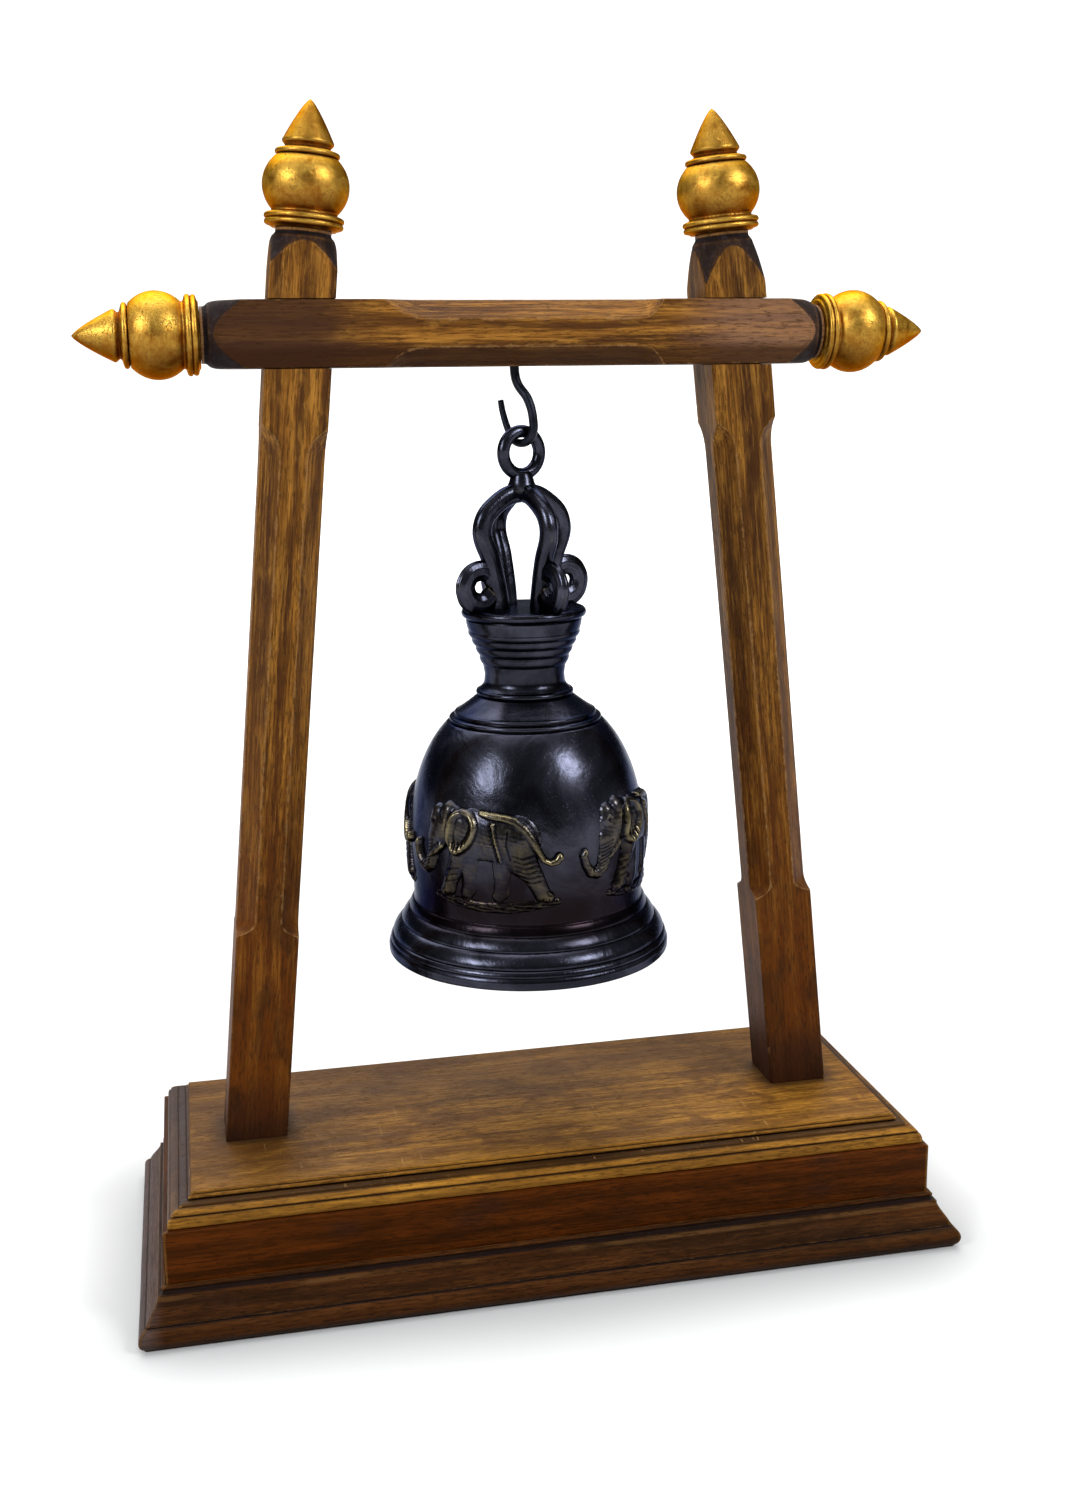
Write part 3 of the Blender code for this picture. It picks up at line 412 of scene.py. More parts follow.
def close_poles(geometry):
    """Merge the points that meet on an axis."""
    merged = add(tree_of(geometry), "GeometryNodeMergeByDistance",
                 {"Geometry": geometry, "Distance": 0.000002})
    return merged.outputs[0]


def stick_tree():
    """A square stick along Z: chamfered to an octagon between stops, domed at its free ends."""
    tree, inputs = begin_tree("Stick", {
        "Sides": 168, "Half Section": 0.015, "Worn Edge": 0.0022, "Stop Edge": 0.0007,
        "Chamfer Low": 0.0, "Chamfer High": 0.1, "Stop Low": 0.01, "Stop High": 0.02, "Seat": 0.1,
        "Both Ends": 0.0, "Dome Length": 0.0185, "Neck Length": 0.002, "Neck Radius": 0.0124,
        "Tenon Radius": 0.006, "Unevenness": 0.0001})
    half = inputs["Half Section"]
    axis = line_curve(inputs["Geometry"])
    skin = drawn_along(axis, circle(tree, inputs["Sides"]))
    even = recall(tree, "turn")
    crowding = 0.15             # draws the points towards the square's edges, four times a turn
    turn = even + (even * 4.0).math("SINE") * crowding
    along, fill = recall(tree, "height"), recall(tree, "fill")
    c, s = turn.math("COSINE"), turn.math("SINE")

    def faces(reach, first, second, soft):
        """Radius of two pairs of faces whose cosines are given, with a rounded edge between them."""
        return (reach / abs(first).at_least(0.05)).math(
            "SMOOTH_MIN", reach / abs(second).at_least(0.05), soft)

    square = faces(half, c, s, inputs["Worn Edge"])
    low = 1.0 - ((along - inputs["Chamfer Low"]) / inputs["Stop Low"]).clamp()
    high = 1.0 - ((inputs["Chamfer High"] - along) / inputs["Stop High"]).clamp()
    stop_curve, stop_reach = 3.4, 0.52
    flat = half + (low ** stop_curve).at_least(high ** stop_curve) * half * stop_reach
    root = math.sqrt(2)
    octagon = faces(flat * root, c + s, c - s, inputs["Stop Edge"])
    outward = along + (abs(along) - along) * inputs["Both Ends"]
    seat = inputs["Seat"]
    dome = ((outward - seat + inputs["Neck Length"]) / inputs["Dome Length"] + 1.0).clamp()
    dome_curve, neck_flare, flare_height = 1.12, 1.2, 0.08
    bulge = (1.0 - dome) ** dome_curve + (1.0 - dome).at_most(flare_height) * neck_flare
    turned = inputs["Neck Radius"] + (half * root + 0.001 - inputs["Neck Radius"]) * bulge
    past_seat = outward.math("GREATER_THAN", seat + 0.00001)
    turned = turned + (inputs["Tenon Radius"] - turned) * past_seat
    radius = square.math("SMOOTH_MIN", octagon, inputs["Stop Edge"])
    radius = radius.math("SMOOTH_MIN", turned, 0.0014) * fill
    painted = (square.at_most(octagon) - turned).step(-0.0001, 0.0005)
    skin = store(skin, "painted", painted)
    skin = close_poles(place(skin, combine(radius * c, radius * s, along)))
    return end_tree(tree, inputs, uneven(skin, inputs["Unevenness"], 38.0))


def position_parts(tree):
    """x, y and z of the geometry's points."""
    return separate(tree.nodes.new("GeometryNodeInputPosition").outputs[0])


def carried_outline(tree, inputs, across):
    """The outline as a curve whose points carry their x, under the name across, and their height."""
    x, _, z = position_parts(tree)
    return store(store(line_curve(inputs["Geometry"]), across, x), "height", z)


def turning_tree():
    """An outline turned about Z. Its points are (radius, 0, height)."""
    tree, inputs = begin_tree("Turning", {"Facets": 96, "Unevenness": 0.0, "Waves": 90.0})
    outline = carried_outline(tree, inputs, "reach")
    body = drawn_along(circle(tree, inputs["Facets"]), outline)
    position = polar(recall(tree, "reach"), recall(tree, "turn"), recall(tree, "height"))
    body = close_poles(place(body, position))
    return end_tree(tree, inputs, uneven(body, inputs["Unevenness"], inputs["Waves"]))


def moulding_tree():
    """An outline, (outset, 0, height), drawn along one side of a frame and mitred at both ends."""
    tree, inputs = begin_tree("Moulding", {"Stations": 240, "Half Along": 0.2, "Half Across": 0.09,
                                           "Joint": 0.00015, "Quarter": 0, "Unevenness": 0.0001})
    outline = carried_outline(tree, inputs, "outset")
    path = add(tree, "GeometryNodeMeshLine", {"Count": inputs["Stations"]})
    share_along = index(tree) / (inputs["Stations"] - 1.0) * 2.0 - 1.0
    path = line_curve(store(path.outputs[0], "share", share_along))
    body = drawn_along(path, outline, caps=True)
    outset = recall(tree, "outset")
    along = recall(tree, "share") * (inputs["Half Along"] + outset - inputs["Joint"])
    across = (inputs["Half Across"] + outset) * -1.0
    turn = inputs["Quarter"] * QUARTER
    c, s = turn.math("COSINE"), turn.math("SINE")
    position = combine(along * c - across * s, along * s + across * c, recall(tree, "height"))
    body = uneven(place(body, position), inputs["Unevenness"], 24.0)
    x, y, z = position_parts(tree)
    reach = CAD_BOX[1]
    held = combine(x.at_least(-reach.x).at_most(reach.x), y.at_least(-reach.y).at_most(reach.y),
                   z.at_least(0.0))
    return end_tree(tree, inputs, place(body, held))


def wire_tree():
    """A creased oval wire along a path whose points know how thick it is."""
    tree, inputs = begin_tree("Wire", {"Sides": 32, "Half Width": 0.002, "Half Depth": 0.002,
                                       "Creases": 0, "Crease": 0.0, "Unevenness": 0.0, "Waves": 150.0})
    path = line_curve(inputs["Geometry"])
    section = circle(tree, inputs["Sides"])
    turn = recall(tree, "turn")
    groove = 1.0 - abs((turn * inputs["Creases"] / 2.0).math("SINE")) ** 0.7
    swell = 1.0 - groove * inputs["Crease"]
    section = place(section, combine(turn.math("COSINE") * inputs["Half Depth"] * swell,
                                     turn.math("SINE") * inputs["Half Width"] * swell, 0.0))
    body = drawn_along(path, section, caps=True, scale=recall(tree, "thick"))
    return end_tree(tree, inputs, uneven(body, inputs["Unevenness"], inputs["Waves"]))


def frieze_tree():
    """A flat relief, (across, up, rise), laid on the bell again and again round its axis."""
    tree, inputs = begin_tree("Frieze", {"Barrel": "object", "Repeats": 4, "Start": 0.0, "Radius": 0.058})
    x, y, z = position_parts(tree)
    relief = store(inputs["Geometry"], "across", x)
    relief = store(store(relief, "up", y), "rise", z)
    points = add(tree, "GeometryNodeMeshLine", {"Count": inputs["Repeats"]})
    copies = add(tree, "GeometryNodeInstanceOnPoints", {"Points": points.outputs[0], "Instance": relief})
    copies = store(copies.outputs[0], "copy", index(tree), domain="INSTANCE")
    copies = add(tree, "GeometryNodeRealizeInstances", {"Geometry": copies}).outputs[0]
    turn = (recall(tree, "across") / inputs["Radius"] + inputs["Start"] - QUARTER
            + recall(tree, "copy") / inputs["Repeats"] * math.tau)
    barrel = add(tree, "GeometryNodeObjectInfo", {"Object": inputs["Barrel"]}, transform_space="RELATIVE")
    reach = inputs["Radius"] * 2.0
    ray = add(tree, "GeometryNodeRaycast", {
        "Target Geometry": barrel.outputs["Geometry"], "Ray Length": 0.2,
        "Source Position": polar(reach, turn, recall(tree, "up")), "Ray Direction": polar(-1.0, turn, 0.0)})
    radius = reach - Field(ray.outputs["Hit Distance"]) + recall(tree, "rise")
    laid = place(copies, polar(radius, turn, recall(tree, "up")))
    return end_tree(tree, inputs, laid)


# ---------------------------------------------------------------- meshes
def towards(degrees):
    """The unit direction at that angle."""
    return math.cos(math.radians(degrees)), math.sin(math.radians(degrees))


def arc(centre, radius, start, end, steps):
    """Points on a circle from start to end, in degrees, both ends included."""
    directions = [towards(start + (end - start) * i / steps) for i in range(steps + 1)]
    return [(centre[0] + radius * c, centre[1] + radius * s) for c, s in directions]


def sweep(start, pull_start, pull_end, end, steps):
    """Points on a cubic curve, both ends included."""
    points = []
    for i in range(steps + 1):
        t = i / steps
        weights = ((1 - t) ** 3, 3 * t * (1 - t) ** 2, 3 * t * t * (1 - t), t ** 3)
        knots = (start, pull_start, pull_end, end)
        points.append(tuple(sum(w * knot[axis] for w, knot in zip(weights, knots)) for axis in (0, 1)))
    return points


def refine(points, spacing):
    """The same line with points added, so that none are further apart than the spacing."""
    finer = [points[0]]
    for start, end in zip(points, points[1:]):
        parts = max(1, math.ceil(math.dist(start, end) / spacing))
        for i in range(1, parts + 1):
            finer.append(tuple(a + (b - a) * i / parts for a, b in zip(start, end)))
    return finer


def line_mesh(points, closed=False, **columns):
    """A mesh of one line, whose points carry the named columns of numbers."""
    mesh = bpy.data.meshes.new("line")
    total = len(points)
    edges = [(i, (i + 1) % total) for i in range(total if closed else total - 1)]
    mesh.from_pydata(points, edges, [])
    for label, values in columns.items():
        mesh.attributes.new(label, "FLOAT", "POINT").data.foreach_set("value", values)
    return mesh


def outline_mesh(points, closed=False):
    """A line mesh in the XZ plane from (x, z) pairs."""
    return line_mesh([(x, 0, z) for x, z in points], closed)


def put_in_scene(name, data):
    """A new object with that data, linked to the scene."""
    item = bpy.data.objects.new(name, data)
    bpy.context.scene.collection.objects.link(item)
    return item


def take_mesh(host, *tools):
    """The plain mesh that the host's modifiers make. The host and the tools are removed."""
    bpy.context.view_layer.update()
    made = bpy.data.meshes.new_from_object(host.evaluated_get(bpy.context.evaluated_depsgraph_get()))
    for item in (host, *tools):
        bpy.data.objects.remove(item)
    return made


def grow(tree, mesh, finish, **sizes):
    """Run a tree on a mesh with the named finish, and return the plain mesh that it makes."""
    host = put_in_scene("host", mesh)
    modifier = host.modifiers.new(tree.name, "NODES")
    modifier.node_group = tree
    sizes = {label.replace("_", " ").title(): value for label, value in sizes.items()}
    sizes["Finish"] = bpy.data.materials[finish]
    for item in tree.interface.items_tree:
        if item.in_out == "INPUT" and item.name in sizes:
            modifier[item.identifier] = sizes.pop(item.name)
    if sizes:
        raise RuntimeError(f"{tree.name} has no input called {', '.join(sizes)}")
    return take_mesh(host)


def vectors(collection, attribute, total):
    values = np.empty(total * 3, np.float32)
    collection.foreach_get(attribute, values)
    return values.reshape(-1, 3)


def mark_edges(mesh, reach, rounds):
    """Store how far each point stands proud of those round it, which is where a finish wears."""
    total = len(mesh.vertices)
    at = vectors(mesh.vertices, "co", total)
    normal = vectors(mesh.vertex_normals, "vector", total)
    ends = np.empty(len(mesh.edges) * 2, np.int32)
    mesh.edges.foreach_get("vertices", ends)
    first, second = ends.reshape(-1, 2).T
    neighbours = np.bincount(first, minlength=total) + np.bincount(second, minlength=total)
    neighbours = np.maximum(neighbours, 1)[:, None]
    soft = at.copy()
    for _ in range(rounds):
        near = np.stack([np.bincount(first, soft[second, axis], total)
                         + np.bincount(second, soft[first, axis], total) for axis in range(3)], 1)
        soft = (soft + near / neighbours) / 2
    proud = ((at - soft) * normal).sum(1) / reach
    mesh.attributes.new("edge", "FLOAT", "POINT").data.foreach_set("value", proud.astype(np.float32))


def settle(name, meshes, body, nodes, crease=40, reach=0.0004, rounds=6):
    """Join meshes into one piece with its wear marked, which rides on a body and stands for nodes."""
    bm = bmesh.new()
    for mesh in meshes:
        shell = bmesh.new()
        shell.from_mesh(mesh)
        if shell.calc_volume(signed=True) < 0:
            bmesh.ops.reverse_faces(shell, faces=shell.faces)
        shell.to_mesh(mesh)
        shell.free()
        bm.from_mesh(mesh)
    whole = meshes[0]
    bm.to_mesh(whole)
    bm.free()
    whole.name = name
    whole.shade_smooth()
    whole.set_sharp_from_angle(angle=math.radians(crease))
    if "edge" not in whole.attributes:
        mark_edges(whole, reach, rounds)
    piece = put_in_scene(name, whole)
    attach(piece, body)
    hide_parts(*nodes)
    return piece


def cut_away(mesh, low, high, matrix=Matrix.Identity(4)):
    """The mesh less a box."""
    block = bmesh.new()
    bmesh.ops.create_cube(block, size=1)
    low, high = Vector(low), Vector(high)
    bmesh.ops.scale(block, vec=high - low, verts=block.verts)
    bmesh.ops.translate(block, vec=(low + high) / 2, verts=block.verts)
    cutter_mesh = bpy.data.meshes.new("cutter")
    block.to_mesh(cutter_mesh)
    block.free()
    cutter_mesh.transform(matrix)
    cutter, blank = put_in_scene("cutter", cutter_mesh), put_in_scene("blank", mesh)
    modifier = blank.modifiers.new("cut", "BOOLEAN")
    modifier.operation = "DIFFERENCE"
    modifier.solver = "MANIFOLD"
    modifier.object = cutter
    return take_mesh(blank, cutter)


def spread(*stations):
    """Heights from the first station to the last. A station is (height, spacing from there on)."""
    heights = []
    for (start, spacing), (end, _) in zip(stations, stations[1:]):
        parts = max(1, round((end - start) / spacing))
        heights += [start + (end - start) * i / parts for i in range(parts)]
    return heights + [stations[-1][0]]


# ---------------------------------------------------------------- finishes
def new_finish(name):
    """A material. Returns its tree, its shader and the coordinates that its patterns lie in."""
    material = bpy.data.materials.new(name)
    material.use_nodes = True
    tree = material.node_tree
    coordinates = add(tree, "ShaderNodeTexCoord").outputs["Object"]
    return tree, tree.nodes["Principled BSDF"], coordinates


def shaded(tone, share_kept):
    """A colour made lighter or darker by that factor."""
    return tuple(part * share_kept for part in tone)


def tint(value):
    """A colour as a socket takes it. A socket stays as it is."""
    return value if isinstance(value, bpy.types.NodeSocket) else (*value[:3], 1.0)


def blend(factor, low, high):
    """The colour low where the factor is 0 and high where it is 1."""
    node = add(tree_of(factor, low, high), "ShaderNodeMix", {0: factor, 6: tint(low), 7: tint(high)},
               data_type="RGBA")
    return node.outputs[2]


def turned_to(vector, location=(0, 0, 0), rotation=(0, 0, 0), scale=(1, 1, 1)):
    """Coordinates shifted, turned and scaled, for a pattern to lie in."""
    mapping = {"Vector": vector, "Location": location, "Rotation": rotation, "Scale": scale}
    return add(tree_of(vector), "ShaderNodeMapping", mapping).outputs[0]


def stretched(vector, x=1, y=1, z=1):
    """Coordinates that a pattern is drawn out in, along any axis whose scale is under 1."""
    return turned_to(vector, scale=(x, y, z))


def noise(vector, waves, detail=4.0, roughness=0.55, distortion=0.0):
    """A cloudy pattern with that many waves to a metre."""
    pattern = {"Vector": vector, "Scale": waves, "Detail": detail, "Roughness": roughness,
               "Distortion": distortion}
    return Field(add(tree_of(vector), "ShaderNodeTexNoise", pattern).outputs[0])


def cells(vector, waves):
    """Distance to the nearest of points strewn with that many to a metre."""
    node = add(tree_of(vector), "ShaderNodeTexVoronoi", {"Vector": vector, "Scale": waves})
    return Field(node.outputs["Distance"])


def stored(tree, name):
    """A number that the mesh's points carry, as a finish reads it."""
    return Field(add(tree, "ShaderNodeAttribute", attribute_name=name).outputs["Fac"])


def edge_wear(tree):
    """How far the surface stands proud here: above 0 on edges, below 0 in grooves."""
    return stored(tree, "edge")


def bump(height, distance, strength, under=None):
    """A normal from a height, laid over the normal that is under it."""
    node = add(tree_of(height), "ShaderNodeBump",
               {"Height": height, "Distance": distance, "Strength": strength})
    if under:
        feed(node.inputs["Normal"], under)
    return node.outputs[0]


def shade(shader, body, roughness, normal, **constants):
    """Feed a shader its patterns, and set what is the same all over on its own sockets."""
    feed(shader.inputs["Base Color"], body)
    feed(shader.inputs["Roughness"], roughness)
    feed(shader.inputs["Normal"], normal)
    for name, value in constants.items():
        shader.inputs[name.replace("_", " ").title().replace("Ior", "IOR")].default_value = value


def wood(name, tones, rotation, location=(0, 0, 0), aged=None, gloss=0.42, worn=(0.26, 0.135, 0.05)):
    """Oiled hardwood whose grain runs along the turned Z. tones are its light, warm and dark colours."""
    light, warm, dark = tones
    tree, shader, coordinates = new_finish(name)

    # figure, streaks, rings and pores along the grain
    grain = turned_to(coordinates, location, rotation)
    long_grain = stretched(grain, z=0.035)
    figure = noise(stretched(grain, z=0.11), 46.0, 3.0, 0.5, 0.6)
    streak = noise(stretched(grain, z=0.045), 760.0, 6.0, 0.70, 0.35)
    dashes = noise(stretched(grain, z=0.15), 1250.0, 3.0, 0.6, 0.3)
    dashes = (dashes + figure * 0.25).step(0.66, 0.76)
    broad = noise(long_grain, 92.0, 4.0, 0.55, 0.5)
    x, y, _ = separate(grain)
    rings = ((x * 1.0 + y * 0.55 + figure * 0.028) * 520.0).math("SINE") * 0.5 + 0.5
    pores = noise(stretched(grain, z=0.045), 1500.0, 2.0, 0.5).step(0.60, 0.72)
    patch = noise(coordinates, 17.0, 3.0, 0.6, 0.8)

    # the bare wood, then what age did to it
    body = blend((broad * 1.1 + rings * 0.22 - 0.17).step(0.26, 0.68), dark, warm)
    body = blend((streak + rings * 0.10).step(0.49, 0.78) * 0.72, body, light)
    body = blend(streak.step(0.36, 0.52) * -0.66 + 0.66, body, dark)
    body = blend(patch.step(0.56, 0.74) * 0.42, body, dark)
    mottle = noise(stretched(grain, z=0.30), 150.0, 4.0, 0.6, 0.5)
    body = blend(mottle.step(0.50, 0.68) * 0.42, body, shaded(warm, 0.6))
    body = blend((1.0 - mottle).step(0.52, 0.70) * 0.30, body, light)
    if aged:
        body = aged(coordinates, body, patch)

    # grime on the arrises, near black in the hollows, worn edges, black paint on what was turned
    edge = edge_wear(tree)
    ragged = noise(coordinates, 210.0, 5.0, 0.7)
    grime = edge.at_least(0.0).step(0.02, 0.35) * ragged.step(0.40, 0.56)
    grime = grime * (1.0 - mottle.step(0.42, 0.6) * 0.5)
    body = blend(grime * 0.42, body, shaded(dark, 0.5))
    body = blend((edge * 0.6 + ragged * 2.4 - 1.42).step(0.15, 0.85) * 0.46, body, worn)
    body = blend((edge * -1.1 - ragged * 0.25).step(0.08, 0.70) * 0.82, body, (0.010, 0.006, 0.006))
    body = blend((pores * 0.55).at_least(dashes * 0.55), body, shaded(dark, 0.45))
    painted = stored(tree, "painted")
    painted = (painted + (ragged - 0.5) * 1.3).step(0.30, 0.75) * (1.0 - (edge * 0.4).clamp())
    paint = blend(ragged.step(0.48, 0.7), (0.0045, 0.0045, 0.0065), (0.017, 0.014, 0.018))
    body = blend(painted * 0.97, body, paint)

    roughness = gloss + (1.0 - streak) * 0.16 + painted * 0.25 + pores * 0.15
    roughness = roughness + patch * 0.10 - edge.clamp() * 0.05
    normal = bump(streak * 0.5 + rings * 0.25 - pores * 0.8 - dashes * 0.7, 0.00025, 0.6)
    normal = bump(noise(coordinates, 70.0, 3.0), 0.0008, 0.25, normal)
    shade(shader, body, roughness, normal, specular_ior_level=0.12,
          specular_tint=(1.0, 0.52, 0.16, 1.0))


def post_ageing(coordinates, body, patch):
    """Darker and redder towards the floor, with dark blotches, and nearly black at the foot: grime and
    painted contact shade where it stands on the board.
    """
    z = separate(coordinates)[2]
    low = (z + patch * 0.10).fall(0.11, 0.40)
    body = blend(low * 0.82, body, (0.070, 0.0150, 0.0013))
    blotch = noise(stretched(coordinates, z=0.55), 52.0, 4.0, 0.6, 0.6)
    body = blend(blotch.step(0.50, 0.66) * (0.25 + low * 0.45), body, (0.022, 0.008, 0.003))
    # painted contact shade with grime: the foot nearly black just above the board
    foot = (z + (patch - 0.5) * 0.05).fall(BOARD_TOP + 0.004, BOARD_TOP + 0.040)
    return blend(foot * 0.74, body, (0.014, 0.006, 0.005))


def bar_ageing(coordinates, body, patch):
    """Nearly black at the left joint, greyed at the right one, warm between them, with painted shade along
    the underside.
    """
    x, _, z = separate(coordinates)
    left = (x + patch * 0.03).fall(-0.085, -0.040)
    body = blend(left * 0.88, body, (0.025, 0.0105, 0.0070))
    right = (x + patch * 0.04).step(0.085, 0.125)
    body = blend(right * 0.60, body, (0.150, 0.080, 0.052))
    # painted shade: the underside of the bar made nearly black
    under = z.fall(BAR_AXIS - STOCK * 0.30, BAR_AXIS - STOCK * 0.12)
    return blend(under * 0.86, body, (0.015, 0.005, 0.003))


def board_ageing(coordinates, body, patch):
    """Ochre along the front, grey-brown along the back, and a painted contact shadow round the left foot.
    """
    x, y, z = separate(coordinates)
    back = (y + patch * 0.06).step(0.0, 0.055)
    # round the left foot: a painted contact shadow of the post, in the same grey-brown as the back
    left = (((x + FOOT) ** 2.0 + (y + 0.01) ** 2.0).math("SQRT") - patch * 0.05).fall(0.008, 0.060)
    cloud = noise(stretched(coordinates, x=0.5), 60.0, 5.0, 0.62, 0.8)
    body = blend(0.16, body, (0.195, 0.088, 0.012))
    body = blend(cloud.step(0.46, 0.64) * 0.66, body, (0.058, 0.020, 0.004))
    stain_and_shadow = (back.at_least(left) * 0.9 + cloud * 0.5 - 0.25).clamp()
    body = blend(stain_and_shadow * 0.72, body, (0.040, 0.017, 0.005))
    front = (y + patch * 0.016).fall(-BOARD_SIDE + 0.014, -BOARD_SIDE + 0.038)
    body = blend((front * 0.10 + cloud * 0.40 - 0.10).clamp() * front * 0.85, body, (0.36, 0.170, 0.026))

    # painted shade in the grooves of the moulding, and its left end greyed
    base = bpy.context.scene.sanctus_bell.base
    past_side = (abs(y) - (BOARD_SIDE - base.board_edge)).at_least(0.0)
    past_end = abs(x) - (BOARD_END - base.board_edge)
    end = (x * -1.0 - (BOARD_END - base.board_edge) - past_side).step(0.0, 0.0010)
    moulded = past_end.at_least(past_side).step(-0.0012, -0.0006)
    rise = BOARD_TOP - BOARD_BOTTOM - base.board_step - BOARD_NOSE
    grooves = [(BOARD_BOTTOM + BOARD_NOSE + rise * towards(angle)[1], 0.0005) for angle in REED_ANGLES]
    # painted shade: a dark line in each groove between the reeds and under the upper fillet
    for height, half in grooves + [(BOARD_TOP - base.board_step + 0.0001, 0.0006)]:
        line = (abs(z - height) - patch * 0.0006).fall(half * 0.4 - 0.0003, half)
        body = blend(line * moulded * 0.85, body, (0.0090, 0.0045, 0.0035))
    body = blend(end * 0.72, body, (0.030, 0.026, 0.030))

    # grime and painted contact shade round the posts' feet, and scratches on the top
    for side, _ in ENDS:
        past_foot = (abs(x - side * FOOT) - STOCK / 2).at_least(abs(y) - STOCK / 2)
        dirt_and_contact_shade = (past_foot + (cloud - 0.5) * 0.02).fall(-0.002, 0.011)
        body = blend(dirt_and_contact_shade * 0.74, body, (0.012, 0.007, 0.006))
    middle = (z - (BOARD_TOP + BOARD_BOTTOM) / 2).step(0.0, 0.002)
    slanting = turned_to(coordinates, rotation=(0, 0, 0.9), scale=(1, 0.06, 1))
    scratch = noise(slanting, 620.0, 2.0, 0.5).step(0.68, 0.74) * middle * patch.step(0.45, 0.60)
    return blend(scratch * (1.0 - back) * 0.45, body, (0.46, 0.27, 0.10))


def apron_ageing(coordinates, body, patch):
    """Dark smudges like knots, and blue-grey at the left end."""
    knot = (cells(stretched(coordinates, z=1.7), 24.0) + patch * 0.35).fall(0.22, 0.52)
    body = blend(knot * 0.6, body, (0.016, 0.006, 0.004))
    left = separate(coordinates)[0].fall(-0.200, -0.188)
    return blend(left * 0.5, body, (0.085, 0.070, 0.072))


def skirt_ageing(coordinates, body, patch):
    """The sides' ageing, with painted shade in the moulding's grooves and a paler line along its cap."""
    z = separate(coordinates)[2]
    quirk = bpy.context.scene.sanctus_bell.base.skirt_bead * 2
    body = apron_ageing(coordinates, body, patch)
    # painted shade: near black along the sunk groove and the quirk over the bead
    groove = z.step(SKIRT_CAP + 0.0002, SKIRT_CAP + 0.0008) * z.fall(SKIRT_TOP - 0.0018, SKIRT_TOP - 0.0012)
    line = z.step(quirk - 0.0010, quirk - 0.0005) * z.fall(quirk + 0.0002, quirk + 0.0008)
    pale = z.step(SKIRT_CAP - 0.0024, SKIRT_CAP - 0.0012) * z.fall(SKIRT_CAP - 0.0002, SKIRT_CAP + 0.0004)
    body = blend(pale * patch.step(0.40, 0.66) * 0.50, body, (0.120, 0.058, 0.020))
    return blend(groove.at_least(line) * 0.88, body, (0.0045, 0.0040, 0.0055))


def gold_leaf(settings):
    """Wrinkled leaf, deep in the hollows and cracked down to its ground here and there, with painted light:
    paler where it faces up, painted shade where it faces down and at the spires' tips.
    """
    tree, shader, coordinates = new_finish("gold leaf")
    edge = edge_wear(tree)
    wrinkle = noise(coordinates, 420.0, 6.0, 0.68, 0.5)
    broad = noise(coordinates, 95.0, 4.0, 0.6, 0.8)
    cracks = abs(noise(coordinates, 210.0, 5.0, 0.6, 1.6) - 0.5).fall(0.004, 0.018)
    cracks = cracks * broad.step(0.50, 0.60)
    specks = (noise(coordinates, 1100.0, 3.0, 0.7) + broad * 0.16).step(0.70, 0.78)
    hollow = (edge * -1.3).clamp()
    painted_light_facing = separate(add(tree, "ShaderNodeNewGeometry").outputs["Normal"])[2]
    # painted light: the leaf paler where it faces up
    body = blend((broad * 0.7 + wrinkle * 0.5 + edge * 0.25 + painted_light_facing * 0.10).step(0.40, 0.80),
                 settings.gold_deep, settings.gold_bright)
    # painted shade: dark orange under what faces down
    body = blend((painted_light_facing * -1.0).step(-0.25, 0.70) * 0.74, body, (0.090, 0.026, 0.003))
    body = blend(hollow.step(0.05, 0.8) * 0.85, body, (0.11, 0.030, 0.004))
    # painted shade: the spires darkened towards their tips
    tip = separate(coordinates)[2].step(CAD_BOX[1][2] - 0.028, CAD_BOX[1][2] - 0.016)
    body = blend(tip * 0.42, body, (0.16, 0.068, 0.010))
    bare = (cracks * 0.65).at_least(specks * 0.8).at_least(hollow.step(0.5, 1.3) * 0.75)
    body = blend(bare, body, settings.bole)
    feed(shader.inputs["Metallic"], 1.0 - bare * 0.75)
    roughness = 0.27 + broad * 0.16 + wrinkle * 0.10 + bare * 0.25
    normal = bump(wrinkle * 0.7 + broad * 0.6 - cracks * 0.5, 0.0005, 0.5)
    shade(shader, body, roughness, normal, specular_tint=(1.0, 0.50, 0.12, 1.0))


